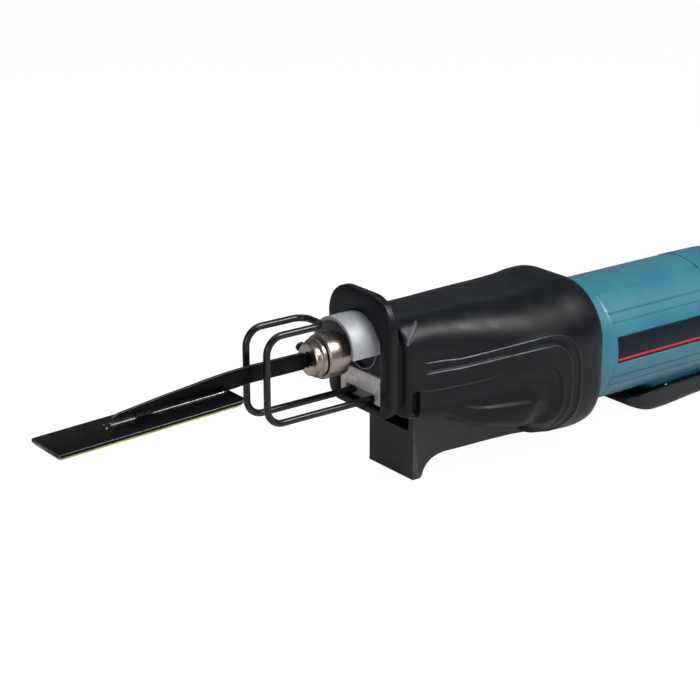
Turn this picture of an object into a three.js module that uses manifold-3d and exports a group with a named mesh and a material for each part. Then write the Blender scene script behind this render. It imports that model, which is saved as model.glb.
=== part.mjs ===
// In-line reciprocating saw with a paddle switch, a rubber front boot, a bent-wire shoe and a
// welded plate blade.  Millimetres.  X runs from the blade tip (-X) to the power cord (+X), Z is
// up, the tool's left side is -Y.  Shapes are drawn with the stroke axis on y = z = 0 and x = 0
// in the front face of the boot's flange; the last step moves the origin to the floor of the
// blade slot.
import * as THREE from 'three';
import { mergeVertices } from 'three/addons/utils/BufferGeometryUtils.js';
import Module from 'manifold-3d';

const wasm = await Module();
wasm.setup();

// ---------------------------------------------------------------- shared dimensions
const STROKE = 28;            // the rest pose is mid-stroke
const THROW = STROKE / 2;     // crank pin offset
const SLOT_DEPTH_X = 20;      // the blade slot's floor lies this far in front of the flange
const WALL_GAP = 0.35;        // gap between fitted neighbours
const BOOT_WALL = 4;
const CASTING_INSET = BOOT_WALL + WALL_GAP; // casting surface below the boot's skin
const CASTING_WALL = 3.25;
const PLUNGER_R = 6;
const PLUNGER_BORE_R = PLUNGER_R + WALL_GAP;
const HOOD_R = 17.8;
const HOOD_Z = 2;
const HOOD_WALL = 1.9;
const WIRE_R = 1.75;
const WIRE_Y = 9.2;           // the shoe's two wires stand this far off centre
const WIRE_LOW_Z = -26.8;
const LOCK_PIN_X = -31;
const CRANK_X = 88;
const MOTOR_Z = -28.2;        // armature axis
const BARREL_R = 36;          // motor housing outside radius
const BARREL_BORE_R = 31.6;
const SHAFT_R = 5;            // crank shaft and armature shaft
const SHAFT_BORE_R = SHAFT_R + 0.3;
const SEAM_X = 239.2;         // rear end of the motor housing
const COVER_FRONT_X = SEAM_X + 0.3;
const BELLY_HALF = 19;
const BELLY_Z = -66;
const BUTTON_X = 260;
const BRUSH_X = 259;
const PIVOT_X = 288;          // paddle hinge
const PIVOT_Z = -68;
const LOCK_X = 224;           // lock-off lever hinge
const LOCK_Z = -73.2;
const LEVER_HALF = 13;        // half width of the lock-off lever
const GUARD_SCREW_X = [40, 78];
// offsets from the motor axis in y and z
const MOTOR_BOLTS = [[26.6, 24.8], [-26.6, 24.8], [-26.9, -26.6], [26.9, -26.6]]
  .map(([y, z]) => [y, MOTOR_Z + z]);

// boot stations: x, half width, top z, bottom z, top corner radius, bottom corner radius
const BOOT_ROWS = [
  [0, 25.8, 30.1, -33.8, 16, 8], [1.2, 27, 31.3, -35, 17, 9],
  [4.6, 27, 31.3, -35, 17, 9], [5.5, 26.2, 31.6, -34.2, 16.4, 8.4],
  [6.1, 23.6, 14.2, -33.4, 14, 8], [9.6, 23.6, 13.6, -33.4, 14, 8],
  [11.4, 26.4, 14.4, -35.6, 15, 5], [16, 27.6, 15.3, -36.9, 16, 5],
  [31, 28.5, 15.6, -39.2, 16.6, 6], [45, 31, 15.4, -43.6, 19, 9],
  [60, 34.6, 15.5, -50.6, 22.5, 13], [80, 39.5, 15, -54, 26, 14],
  [92, 41.9, 15, -57, 28.5, 18], [99, 42.4, 15, -64.4, 29, 27],
  [106, 42.5, 15.2, -68.4, 29, 30], [116, 42.5, 16, -68.8, 30, 30],
  [124, 42.3, 17, -68.6, 31, 30], [131, 41.7, 17, -68, 31, 28.5],
  [136.6, 40.4, 15.4, -67, 31, 28.5], [139.8, 38.6, 12.9, -65.8, 31, 29.5],
  [141, 37.2, 11.5, -65, 31, 29],
];

// ---------------------------------------------------------------- solids and meshes
// welds the vertices, drops collapsed triangles and turns the skin outward
function solid(geometry) {
  const bare = geometry.clone();
  bare.deleteAttribute('normal');
  bare.deleteAttribute('uv');
  const welded = mergeVertices(bare, 1e-4);
  const index = welded.index.array;
  const triangles = [];
  for (let i = 0; i < index.length; i += 3) {
    const [a, b, c] = index.subarray(i, i + 3);
    if (a !== b && b !== c && a !== c) triangles.push(a, b, c);
  }
  const build = () => new wasm.Manifold(new wasm.Mesh({
    numProp: 3,
    vertProperties: new Float32Array(welded.attributes.position.array),
    triVerts: new Uint32Array(triangles),
  }));
  const built = build();
  if (built.volume() >= 0) return built;
  for (let i = 0; i < triangles.length; i += 3)
    [triangles[i + 1], triangles[i + 2]] = [triangles[i + 2], triangles[i + 1]];
  return build();
}

function geometryOf(shape) {
  const { numVert, numProp, vertProperties, triVerts } = shape.getMesh();
  const positions = new Float32Array(numVert * 3);
  for (let i = 0; i < numVert; i++)
    positions.set(vertProperties.subarray(i * numProp, i * numProp + 3), i * 3);
  return meshGeometry(positions, new THREE.BufferAttribute(triVerts, 1));
}

function meshGeometry(positions, index) {
  const geometry = new THREE.BufferGeometry();
  geometry.setAttribute('position', new THREE.BufferAttribute(positions, 3));
  geometry.setIndex(index);
  return geometry;
}

// adds a mesh whose origin is the centre of its bounding box
function put(parent, name, material, shape) {
  const { min, max } = shape.boundingBox();
  const centre = new THREE.Vector3(...min.map((low, i) => (low + max[i]) / 2));
  const geometry = geometryOf(shape).translate(-centre.x, -centre.y, -centre.z);
  const mesh = new THREE.Mesh(geometry, material.clone());
  mesh.name = name;
  mesh.position.copy(centre).sub(parent.getWorldPosition(new THREE.Vector3()));
  parent.add(mesh);
}

const join = (...parts) => parts.reduce((a, b) => a.add(b));
const cut = (blank, ...cutters) => cutters.reduce((a, b) => a.subtract(b), blank);

// ---------------------------------------------------------------- basic shapes
const box = (x0, x1, y0, y1, z0, z1) => solid(new THREE.BoxGeometry(x1 - x0, y1 - y0, z1 - z0)
  .translate((x0 + x1) / 2, (y0 + y1) / 2, (z0 + z1) / 2));
const midBox = (x0, x1, half, z0, z1) => box(x0, x1, -half, half, z0, z1);
// y range on one side, -1 left or 1 right, from distances off the centre plane
const across = (side, near, far) => (side < 0 ? [-far, -near] : [near, far]);
const boxPair = (x0, x1, near, far, z0, z1) =>
  [-1, 1].map((side) => box(x0, x1, ...across(side, near, far), z0, z1));

const cylinder = (radius, length, n) => new THREE.CylinderGeometry(radius, radius, length, n);
const rodX = (radius, x0, x1, y = 0, z = 0, n = 32) =>
  solid(cylinder(radius, x1 - x0, n).rotateZ(Math.PI / 2).translate((x0 + x1) / 2, y, z));
const rodY = (radius, y0, y1, x, z, n) =>
  solid(cylinder(radius, y1 - y0, n).translate(x, (y0 + y1) / 2, z));
const rodZ = (radius, z0, z1, x, y = 0, n = 32) =>
  solid(cylinder(radius, z1 - z0, n).rotateX(Math.PI / 2).translate(x, y, (z0 + z1) / 2));

const vectors = (points) => points.map(([x, y]) => new THREE.Vector2(x, y));
// profile of [radius, x], revolved about a line along X
const turnX = (profile, z = 0, n = 32) => solid(
  new THREE.LatheGeometry(vectors(profile), n).rotateZ(-Math.PI / 2).translate(0, 0, z));
const ringX = (inner, outer, x0, x1, z = 0, n = 32) =>
  turnX([[inner, x0], [outer, x0], [outer, x1], [inner, x1], [inner, x0]], z, n);

// the same shapes on the motor axis and the crank axis
const motorRod = (radius, x0, x1, n) => rodX(radius, x0, x1, 0, MOTOR_Z, n);
const motorTurn = (profile, n) => turnX(profile, MOTOR_Z, n);
const motorRing = (inner, outer, x0, x1, n) => ringX(inner, outer, x0, x1, MOTOR_Z, n);
const crankRod = (radius, z0, z1, n, y = 0) => rodZ(radius, z0, z1, CRANK_X, y, n);
// twelve boxes round the motor axis, centred at x and at a radius
const motorSpokes = (length, width, height, x, radius) => Array.from({ length: 12 }, (_, i) =>
  solid(new THREE.BoxGeometry(length, width, height).translate(x, 0, radius)
    .rotateX(2 * Math.PI * i / 12).translate(0, 0, MOTOR_Z)));

const boltRods = (radius, x0, x1) =>
  MOTOR_BOLTS.map(([y, z]) => rodX(radius, x0, x1, y, z, 12));
const guardScrewHoles = (z0, z1) => GUARD_SCREW_X.map((x) => rodZ(2.4, z0, z1, x, 0, 12));

// ---------------------------------------------------------------- extruded outlines
const extrude = (points, depth) =>
  new THREE.ExtrudeGeometry(new THREE.Shape(vectors(points)), { depth, bevelEnabled: false });
const sideSlab = (points, y0, y1) => // outline in X,Z, thickness along Y
  solid(extrude(points, y1 - y0).rotateX(Math.PI / 2).translate(0, y1, 0));
const YZ_PLANE = new THREE.Matrix4().makeBasis(
  new THREE.Vector3(0, 1, 0), new THREE.Vector3(0, 0, 1), new THREE.Vector3(1, 0, 0));
const frontSlab = (points, x0, x1) => // outline in Y,Z, thickness along X
  solid(extrude(points, x1 - x0).applyMatrix4(YZ_PLANE).translate(x0, 0, 0));
const topSlab = (points, z0, z1) => // outline in X,Y, thickness along Z
  solid(extrude(points, z1 - z0).translate(0, 0, z0));

// n + 1 points, angles in degrees
const arc = (cx, cy, radius, from, to, n) => Array.from({ length: n + 1 }, (_, i) => {
  const angle = THREE.MathUtils.degToRad(from + (to - from) * i / n);
  return [cx + radius * Math.cos(angle), cy + radius * Math.sin(angle)];
});
const sector = (cx, cy, outer, inner, from, to, n, innerN = n) =>
  [...arc(cx, cy, outer, from, to, n), ...arc(cx, cy, inner, to, from, innerN)];
// half circle about the hood's centre on straight legs down to lowZ
const arch = (radius, lowZ, n = 20) =>
  [...arc(0, HOOD_Z, radius, 0, 180, n), [-radius, lowZ], [radius, lowZ]];
// half of a rounded nose seen from above, mirrored and closed behind the paddle
function noseSlab(half) {
  const endX = 297;
  const endY = half.at(-1)[1];
  const mirrored = [...half].reverse().map(([x, y]) => [x, -y]);
  return topSlab([...half, [endX, endY], [endX, -endY], ...mirrored], -90, -40);
}
// round section with the given number of sides, swept along a path
const sweep = (radius, sides, steps, extrudePath) => {
  const section = vectors(arc(0, 0, radius, 0, 360 - 360 / sides, sides - 1));
  const options = { steps, extrudePath, bevelEnabled: false };
  return solid(new THREE.ExtrudeGeometry(new THREE.Shape(section), options));
};

// ---------------------------------------------------------------- lofts
// closed skin over rings of equal count, each end capped by a fan
function loft(rings) {
  const n = rings[0].length;
  const positions = rings.flat(2);
  const triangles = [];
  for (let i = 0; i + 1 < rings.length; i++)
    for (let j = 0; j < n; j++) {
      const a = i * n + j;
      const b = i * n + (j + 1) % n;
      triangles.push(a, a + n, b, b, a + n, b + n);
    }
  for (const k of [0, rings.length - 1]) {
    const hub = positions.length / 3;
    positions.push(...[0, 1, 2].map((q) => rings[k].reduce((sum, p) => sum + p[q], 0) / n));
    for (let j = 0; j < n; j++) {
      const a = k * n + j;
      const b = k * n + (j + 1) % n;
      triangles.push(hub, ...(k ? [b, a] : [a, b]));
    }
  }
  return solid(meshGeometry(new Float32Array(positions), triangles));
}

// rounded rectangle in the plane at x
function roundedRing(x, half, top, bottom, topR, bottomR) {
  const corners = [ // centre y, centre z, radius, first angle
    [half - topR, top - topR, topR, 0], [topR - half, top - topR, topR, 90],
    [bottomR - half, bottom + bottomR, bottomR, 180],
    [half - bottomR, bottom + bottomR, bottomR, 270],
  ];
  return corners.flatMap(([cy, cz, radius, from]) =>
    arc(cy, cz, radius, from, from + 90, 4).map(([y, z]) => [x, y, z]));
}

function bootRow(x) {
  const i = Math.max(1, BOOT_ROWS.findIndex((row) => row[0] >= x));
  const [before, after] = BOOT_ROWS.slice(i - 1, i + 1);
  const t = (x - before[0]) / (after[0] - before[0]);
  return before.map((value, k) => value + (after[k] - value) * t);
}

// the boot's form between two stations, shrunk by inset
function bootBody(x0, x1, inset) {
  const between = BOOT_ROWS.map((row) => row[0]).filter((x) => x > x0 + 0.3 && x < x1 - 0.3);
  return loft([x0, ...between, x1].map((x) => {
    const [, half, top, bottom, topR, bottomR] = bootRow(x);
    return roundedRing(x, half - inset, top - inset, bottom + inset,
      Math.max(topR - inset, 1.5), Math.max(bottomR - inset, 1.5));
  }));
}

// circles on the motor axis; rows of x, radius
const motorLoft = (rows, n, inset = 0) => loft(rows.map(([x, radius]) =>
  Array.from({ length: n }, (_, i) => {
    const angle = 2 * Math.PI * i / n;
    const r = radius - inset;
    return [x, r * Math.cos(angle), MOTOR_Z + r * Math.sin(angle)];
  })));

// ---------------------------------------------------------------- materials
const standard = (look) => new THREE.MeshStandardMaterial(look);
const TEAL = standard({ color: 0x488a98, roughness: 0.45, metalness: 0 });
const RUBBER = standard({ color: 0x24282c, roughness: 0.6, metalness: 0 });
const BLACK = standard({ color: 0x282b2d, roughness: 0.5, metalness: 0 });
const CAST = standard({ color: 0xb2b4b8, roughness: 0.5, metalness: 0.9 });
const NICKEL = standard({ color: 0xbeb2a8, roughness: 0.25, metalness: 1 });
const STEEL = standard({ color: 0x96989c, roughness: 0.35, metalness: 1 });
const WIRE_BLACK = standard({ color: 0x161718, roughness: 0.25, metalness: 0.3 });
const BLADE_BLACK = standard({ color: 0x222425, roughness: 0.4, metalness: 0.6 });
const GRIT = standard({ color: 0x969e60, roughness: 0.8, metalness: 0.3 });
const LABEL = standard({ color: 0x262a32, roughness: 0.35, metalness: 0 });
const COPPER = standard({ color: 0xaa6038, roughness: 0.4, metalness: 1 });
const LAMINATION = standard({ color: 0x5a5c60, roughness: 0.5, metalness: 0.8 });
const CARBON = standard({ color: 0x323234, roughness: 0.7, metalness: 0.2 });
const BRONZE = standard({ color: 0x967448, roughness: 0.45, metalness: 1 });

// ---------------------------------------------------------------- scene graph
const group = new THREE.Group();
function branch(parent, x, y, z) {
  const child = new THREE.Group();
  child.position.set(x, y, z);
  parent.add(child);
  return child;
}
const saw = branch(group, 0, 0, 0);
const slider = branch(group, 0, 0, 0); // everything that strokes
const sleeve = branch(slider, -20, 0, 0);
const lockPin = branch(slider, LOCK_PIN_X, 0, 0);
const blade = branch(slider, -33, 0, 0);
const roller = branch(slider, CRANK_X, THROW, 0);
const crank = branch(group, CRANK_X, 0, -18);
const armature = branch(group, 190, 0, MOTOR_Z);
const shoe = branch(group, -40, 0, 0);
const paddle = branch(group, PIVOT_X, 0, PIVOT_Z);
const lockLever = branch(paddle, LOCK_X - PIVOT_X, 0, LOCK_Z - PIVOT_Z);
const button = branch(group, BUTTON_X, 0, -66);

// ---------------------------------------------------------------- front end
// one skin over the gear housing with a flange round the nose
function rubberBoot() {
  return cut(bootBody(0, 141, 0),
    frontSlab(arch(HOOD_R + 0.3, -30.7), -1, 4.35),
    midBox(4.2, 12.8, 18.1, -30.75, 11),
    bootBody(12.05, 136, BOOT_WALL),
    motorRod(BARREL_R + WALL_GAP, 127, 143, 48),
    ...guardScrewHoles(-62, -30));
}
put(saw, 'rubber_boot', RUBBER, rubberBoot());

// casting: nose block, bush bores, crank bearing boss, motor mouth
function gearHousing() {
  const outside = join(bootBody(12.4, 128, CASTING_INSET), midBox(4.3, 12.65, 17.75, -30.4, 10.6));
  const shell = cut(outside, bootBody(28, 119, CASTING_INSET + CASTING_WALL),
    motorRod(33.4, 118.5, 129, 40));
  const bossed = join(shell, midBox(43, 61, 14, -13, 9.2), crankRod(14, -47.9, -25, 32));
  return cut(bossed,
    rodX(10, 3, 29), rodX(10, 42, 62),                               // bush bores
    crankRod(11.3, -35.5, -24, 32), crankRod(5.6, -43.4, -35, 24),   // bearing, shaft end
    ...[WIRE_Y, -WIRE_Y].map((y) => rodX(2.15, 3, 34, y, WIRE_LOW_Z, 12)),
    ...guardScrewHoles(-60, -36), ...boltRods(2, 112, 129));
}
put(saw, 'gear_housing', CAST, gearHousing());

// half-round hood over the chuck
put(saw, 'nose_hood', CAST, cut(frontSlab(arch(HOOD_R, 0.5, 24), -16.6, 3.9),
  frontSlab(arch(HOOD_R - HOOD_WALL, -1, 24), -17, 4.4)));
// gate-shaped bracket below the bore: a bar on two short legs
put(saw, 'shoe_bracket', CAST,
  cut(midBox(1, 3.95, 17.2, -28.8, -13), midBox(0, 5, 12.4, -29.5, -23.4)));

// wiper plate round the plunger, with a raised lip
function dustSeal() {
  const lipR = 11.2;
  const plate = cut(frontSlab(arch(15.4, -12.6), 2.5, 3.95), rodX(lipR, 2, 3.3));
  return cut(join(plate, ringX(lipR, 12.9, 1.6, 2.9)), rodX(PLUNGER_BORE_R, 1, 5));
}
put(saw, 'dust_seal', RUBBER, dustSeal());
put(saw, 'front_plunger_bush', BRONZE, ringX(PLUNGER_BORE_R, 9.7, 6, 27));
put(saw, 'rear_plunger_bush', BRONZE, ringX(PLUNGER_BORE_R, 9.7, 43.4, 60.6));

// front plate with a foot, and a tongue that runs back under the boot
function fingerGuard() {
  const outline = [ // x, z
    [22, -36], [22, -75], [22.5, -75.5], [27.4, -75.5], [28.6, -74.3], [29.6, -71], [32, -68],
    [35.2, -65.7], [39, -64.4], [43.8, -63.8], [53.5, -64.3], [78, -64.9], [93.5, -65.6],
    [93.5, -36],
  ];
  return cut(sideSlab(outline, -BELLY_HALF, BELLY_HALF), bootBody(12, 141, -WALL_GAP),
    midBox(21, 26.4, 15.2, -48, -30), midBox(26.2, 91, 16.6, -62.4, -30),
    ...guardScrewHoles(-70, -60));
}
put(saw, 'finger_guard', BLACK, fingerGuard());
[['front', -37.5], ['rear', -44]].forEach(([place, topZ], i) => {
  const x = GUARD_SCREW_X[i];
  put(saw, 'guard_screw_' + place, STEEL,
    join(rodZ(2, -62.2, topZ, x, 0, 12), rodZ(4, -62, -59.4, x, 0, 16)));
});

// ---------------------------------------------------------------- plunger, yoke and chuck
put(slider, 'plunger', STEEL, join(rodX(PLUNGER_R, -13, 79), rodX(4, -17.5, -12, 0, 0, 24)));

// block with a round-ended slot across the stroke
function scotchYoke() {
  const slotR = 5.6;
  const slot = join(midBox(CRANK_X - slotR, CRANK_X + slotR, THROW, -6, 6),
    crankRod(slotR, -6, 6, 24, THROW), crankRod(slotR, -6, 6, 24, -THROW));
  return cut(midBox(79.3, 96.7, 21.8, -5.5, 4), slot);
}
put(slider, 'scotch_yoke', STEEL, scotchYoke());
put(roller, 'crank_roller', STEEL,
  cut(crankRod(5.2, -5.2, 3.7, 24, THROW), crankRod(3.4, -6, 6, 16, THROW)));

// the locking pin stands 25 degrees above horizontal on the right side
const LOCK_TILT = THREE.MathUtils.degToRad(25);
const tiltedPin = (radius, from, to, n) => solid(cylinder(radius, to - from, n)
  .translate(LOCK_PIN_X, (from + to) / 2, 0).rotateX(LOCK_TILT));

function chuckBody() {
  const profile = [ // radius, x
    [0, -33.2], [8.1, -33.2], [8.9, -32.5], [8.9, -30], [10.5, -29.2], [10.5, -27.4],
    [7.5, -27], [7.5, -13.35], [0, -13.35],
  ];
  return cut(turnX(profile), midBox(-34, -SLOT_DEPTH_X, 1.35, -4.4, 4.4),
    rodX(4.3, -17.8, -13, 0, 0, 24), tiltedPin(1.75, 0, 9.2, 16), tiltedPin(2.95, 8.7, 14, 20));
}
put(slider, 'chuck_body', NICKEL, chuckBody());

const SLEEVE_PROFILE = [ // radius, x
  [7.85, -26.6], [10.8, -26.6], [11.9, -25.4], [11.9, -14.1], [11.4, -13.5], [7.85, -13.5],
  [7.85, -26.6],
];
put(sleeve, 'chuck_sleeve', NICKEL, turnX(SLEEVE_PROFILE, 0, 36));

function bladeLockPin() {
  const headProfile = [[0, 9.2], [2.6, 9.2], [2.6, 10.6], [1.9, 11.4], [0, 11.7]];
  const head = new THREE.LatheGeometry(vectors(headProfile), 20)
    .translate(LOCK_PIN_X, 0, 0).rotateX(LOCK_TILT);
  return join(tiltedPin(1.4, 1.6, 10, 12), solid(head));
}
put(lockPin, 'blade_lock_pin', WIRE_BLACK, bladeLockPin());

// ---------------------------------------------------------------- blade
// the plate's top face passes through this x and z, falling towards the tip
const PLATE_X = -79;
const PLATE_Z = -5.6;
const PLATE_SLOPE = 0.0372;
const plateTop = (x) => PLATE_Z + (x - PLATE_X) * PLATE_SLOPE;

// flat bar on edge, tapering towards the tip, sunk 0.3 short of the plate's top
function bladeBar() {
  const outline = [ // x, z
    [-22.1, 3.7], [-34.5, 3.7], [-36.6, 4.6], [-70, 4.6], [-84, 3.9], [-94, 3.1], [-104, 1.9],
    [-120, 0.2], [-138, -2.2], [-146.5, -3.3], [-148.5, -4.2],
    [-149.5, plateTop(-149.5) + 0.3], [-80, plateTop(-80) + 0.3],
    [-70, -4.7], [-36.6, -4.7], [-34.5, -3.7], [-22.1, -3.7],
  ];
  return sideSlab(outline, -0.85, 0.85);
}
put(blade, 'blade_bar', BLADE_BLACK, bladeBar());

const PLATE_OUTLINE = [ // corner centre x, y, radius, first angle
  [-86.6, 5.7, 5, 0], [-186.4, 9.4, 1.3, 90], [-186.4, -15.6, 1.3, 180], [-86.6, -11.9, 5, 270],
].flatMap(([x, y, radius, from]) => arc(x, y, radius, from, from + 90, 4));
// slab parallel to the plate, z0 and z1 measured from its top face
function plateSlab(points, z0, z1) {
  const tilt = -THREE.MathUtils.radToDeg(Math.atan(PLATE_SLOPE));
  return topSlab(points.map(([x, y]) => [x - PLATE_X, y]), z0, z1)
    .rotate([0, tilt, 0]).translate([PLATE_X, 0, PLATE_Z]);
}
put(blade, 'blade_plate', BLADE_BLACK, plateSlab(PLATE_OUTLINE, -1.8, 0));

// the plate's outline shrunk about its middle, under the plate
function gritLayer() {
  const midX = -136;
  const midY = -3.1;
  const outline = PLATE_OUTLINE.map(([x, y]) =>
    [midX + (x - midX) * 0.985, midY + (y - midY) * 0.95]);
  return plateSlab(outline, -3, -2.1);
}
put(blade, 'grit_layer', GRIT, gritLayer());

// ---------------------------------------------------------------- wire shoe
// path through stops of x, y, z, bend radius; the first and last have no bend
function bentPath(stops) {
  const path = new THREE.CurvePath();
  const corners = stops.map(([x, y, z]) => new THREE.Vector3(x, y, z));
  const towards = (from, to, distance) =>
    from.clone().addScaledVector(to.clone().sub(from).normalize(), distance);
  let start = corners[0];
  for (let i = 1; i < corners.length - 1; i++) {
    const corner = corners[i];
    const into = towards(corner, corners[i - 1], stops[i][3]);
    const out = towards(corner, corners[i + 1], stops[i][3]);
    const handle = (end) => end.clone().lerp(corner, 0.5523); // quarter-circle approximation
    path.add(new THREE.LineCurve3(start, into));
    path.add(new THREE.CubicBezierCurve3(into, handle(into), handle(out), out));
    start = out;
  }
  path.add(new THREE.LineCurve3(start, corners.at(-1)));
  return path;
}

// two side loops joined by a bar across the top rear
function wireShoe() {
  const frontX = -64.9;
  const topZ = 20.3;
  const legEndX = 20;
  const loop = (y) =>
    [[frontX, y, WIRE_LOW_Z, 9.5], [frontX, y, topZ, 9.5], [-29, y, topZ, 6.5]];
  const path = bentPath([[legEndX, -WIRE_Y, WIRE_LOW_Z], ...loop(-WIRE_Y),
    ...loop(WIRE_Y).reverse(), [legEndX, WIRE_Y, WIRE_LOW_Z]]);
  return sweep(WIRE_R, 8, 88, path);
}
put(shoe, 'wire_shoe', WIRE_BLACK, wireShoe());

// ---------------------------------------------------------------- crank
// face gear with its teeth pointing down, a crank pin and a balance mass opposite it
function crankGear() {
  const toothCount = 44;
  const rimZ = -20.9;
  const toothOutline = [[-0.95, 0.4], [0.95, 0.4], [0.42, -2.0], [-0.42, -2.0]];
  const teeth = Array.from({ length: toothCount }, (_, i) => solid(extrude(toothOutline, 3.6)
    .rotateX(Math.PI / 2).rotateZ(Math.PI).translate(0, 22.3, rimZ)
    .rotateZ(2 * Math.PI * i / toothCount).translate(CRANK_X, 0, 0)));
  const disc = join(crankRod(27.4, rimZ, -14, 64), crankRod(8, -24.7, -20, 32),
    wasm.Manifold.union(teeth));
  const pin = crankRod(3.1, -17, -6.5, 16, THROW);
  const mass = topSlab(sector(CRANK_X, 0, 25, 11, 200, 340, 14, 8), -15, -9.6);
  return join(cut(disc, crankRod(SHAFT_BORE_R, -26, -12, 24)), pin, mass);
}
put(crank, 'crank_gear', STEEL, crankGear());
put(crank, 'crank_shaft', STEEL, crankRod(SHAFT_R, -43, -14.4, 24));
put(saw, 'crank_bearing', STEEL,
  cut(crankRod(11, -35.1, -25.3, 32), crankRod(SHAFT_BORE_R, -36, -24, 24)));

// ---------------------------------------------------------------- armature
function pinion() {
  const pitch = 2 * Math.PI / 11;
  // radius, angle in tooth pitches
  const tooth = [[4.7, -0.42], [6.55, -0.11], [6.55, 0.11], [4.7, 0.42]];
  const outline = Array.from({ length: 11 }, (_, i) => tooth.map(([radius, offset]) => {
    const angle = pitch * (i + offset + 0.5) + Math.PI / 2;
    return [radius * Math.cos(angle), MOTOR_Z + radius * Math.sin(angle)];
  })).flat();
  return cut(frontSlab(outline, 107.3, 117.2), motorRod(3.3, 106, 119, 20));
}
put(armature, 'pinion', STEEL, pinion());
put(armature, 'armature_shaft', STEEL,
  join(motorRod(3, 107.5, 118, 20), motorRod(SHAFT_R, 117.5, 285, 24)));
put(armature, 'armature_core', LAMINATION,
  cut(motorRing(SHAFT_BORE_R, 20.6, 161.3, 217, 36), ...motorSpokes(60, 1.6, 4, 189, 20)));

// end turns at both ends of the core, joined by the conductors in its slots
function armatureWinding() {
  const bore = SHAFT_BORE_R;
  const frontTurns = [[bore, 152], [12, 152], [17, 155], [19.6, 161], [bore, 161], [bore, 152]];
  const rearTurns =
    [[bore, 217.3], [19.6, 217.3], [17, 224], [12, 229], [bore, 229], [bore, 217.3]];
  return join(motorTurn(frontTurns, 28), motorTurn(rearTurns, 28),
    ...motorSpokes(58, 1.0, 1.2, 189.15, 19));
}
put(armature, 'armature_winding', COPPER, armatureWinding());
put(armature, 'commutator', COPPER, motorRing(SHAFT_BORE_R, 12, 250, 268, 28));
put(armature, 'cooling_fan', BLACK, join(motorRing(SHAFT_BORE_R, 11, 131, 143, 28),
  motorRing(10, 29, 141, 143, 36), ...motorSpokes(9, 1.5, 17, 137, 20)));

// ---------------------------------------------------------------- motor housing
const belly = (x0, x1) => midBox(x0, x1, BELLY_HALF, BELLY_Z, -45);

// barrel with a round-nosed belly and a shallow pocket for the name plate on the left
function motorHousing() {
  const frontX = 128.35;
  const bellyX = 191.9;
  const nose = // x, half width
    [[bellyX, 4], [192.6, 8.8], [194.3, 13], [197, 16], [201, BELLY_HALF]];
  const outside = join(bootBody(frontX, 134, CASTING_INSET),
    motorRod(BARREL_R, frontX, SEAM_X, 48), belly(bellyX, SEAM_X).intersect(noseSlab(nose)));
  return cut(outside, motorRod(BARREL_BORE_R, 127, 241, 40),
    ...boltRods(2, 127, 135), ...boltRods(2.9, 130.4, 135),
    frontSlab(sector(0, MOTOR_Z, 40, 35.2, 163, 188, 6), 156.4, 232.4));
}
put(saw, 'motor_housing', TEAL, motorHousing());
put(saw, 'name_plate', LABEL,
  frontSlab(sector(0, MOTOR_Z, 36.05, 35.5, 163.6, 187.4, 6), 156.8, 232));
MOTOR_BOLTS.forEach(([y, z], i) => put(saw, 'motor_screw_' + (i + 1), STEEL,
  join(rodX(1.7, 112.5, 132, y, z, 12), rodX(2.6, 130.8, 133.7, y, z, 14))));
put(saw, 'bearing_plate', CAST, motorRing(13.3, 33, 119.5, 128, 36));
put(saw, 'front_bearing', STEEL, motorRing(SHAFT_BORE_R, 13, 119.9, 127.8, 32));
const BAFFLE_PROFILE = // radius, x
  [[22, 145], [31.2, 145], [31.2, 148.4], [28, 148.4], [22, 146.6], [22, 145]];
put(saw, 'fan_baffle', BLACK, motorTurn(BAFFLE_PROFILE, 40));
put(saw, 'stator_core', LAMINATION, motorRing(25.8, 31.2, 163, 215, 44));
for (const [place, mid] of [['upper', 90], ['lower', 270]])
  put(saw, place + '_field_coil', COPPER,
    frontSlab(sector(0, MOTOR_Z, 25.4, 21.2, mid - 58, mid + 58, 12), 156, 222));

// ---------------------------------------------------------------- rear cover, in two halves
const COVER_ROWS = [ // x, outside radius
  [COVER_FRONT_X, 36.4], [262, 36.2], [284, 34.8], [304, 32.6], [330, 31.6], [352, 31.2],
  [364, 29.8], [369.5, 27], [372, 23],
];
const COVER_BORE_ROWS = [ // x, bore radius
  [238, 33.4], [262, 33.4], [284, 32], [304, 29.8], [330, 28.8], [352, 28.4], [362, 27.4],
  [368.6, 22],
];
const COVER_SCREWS = [[305, -7], [305, -49.5], [352, MOTOR_Z + 16]]; // x, z

function rearCover() {
  const screwRods = (radius, y0, y1, n) =>
    COVER_SCREWS.map(([x, z]) => rodY(radius, y0, y1, x, z, n));
  const outside = join(motorLoft(COVER_ROWS, 36), belly(COVER_FRONT_X, 291.5),
    ...boxPair(284.5, 291.4, 12, 15, -70.4, -60));
  const bossLimit = motorLoft(COVER_ROWS, 40, 0.5);
  const bossed = join(cut(outside, motorLoft(COVER_BORE_ROWS, 40)),
    ...screwRods(4.4, -28, 28, 16).map((boss) => boss.intersect(bossLimit)));
  const slots = [0, 1, 2, 3].map((i) => solid(
    new THREE.BoxGeometry(2.6, 90, 22).rotateY(0.35).translate(319 + i * 7, 0, MOTOR_Z)));
  return cut(bossed, ...screwRods(2.1, -40, 40, 12), ...screwRods(3.6, -40, -22, 16),
    motorRod(6.9, 362, 375, 24),                   // cord
    rodY(2.35, -25, 25, PIVOT_X, PIVOT_Z, 16),     // paddle pin
    rodZ(2.9, -70, -58, BUTTON_X, 0, 16),          // switch button
    rodY(6.5, -45, -28, BRUSH_X, MOTOR_Z, 20), rodY(6.5, 28, 45, BRUSH_X, MOTOR_Z, 20),
    ...slots);
}
const COVER = rearCover();
for (const [place, side] of [['left', -1], ['right', 1]])
  put(saw, 'rear_cover_' + place, TEAL,
    COVER.intersect(box(230, 380, ...across(side, 0.15, 60), -90, 30)));
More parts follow.
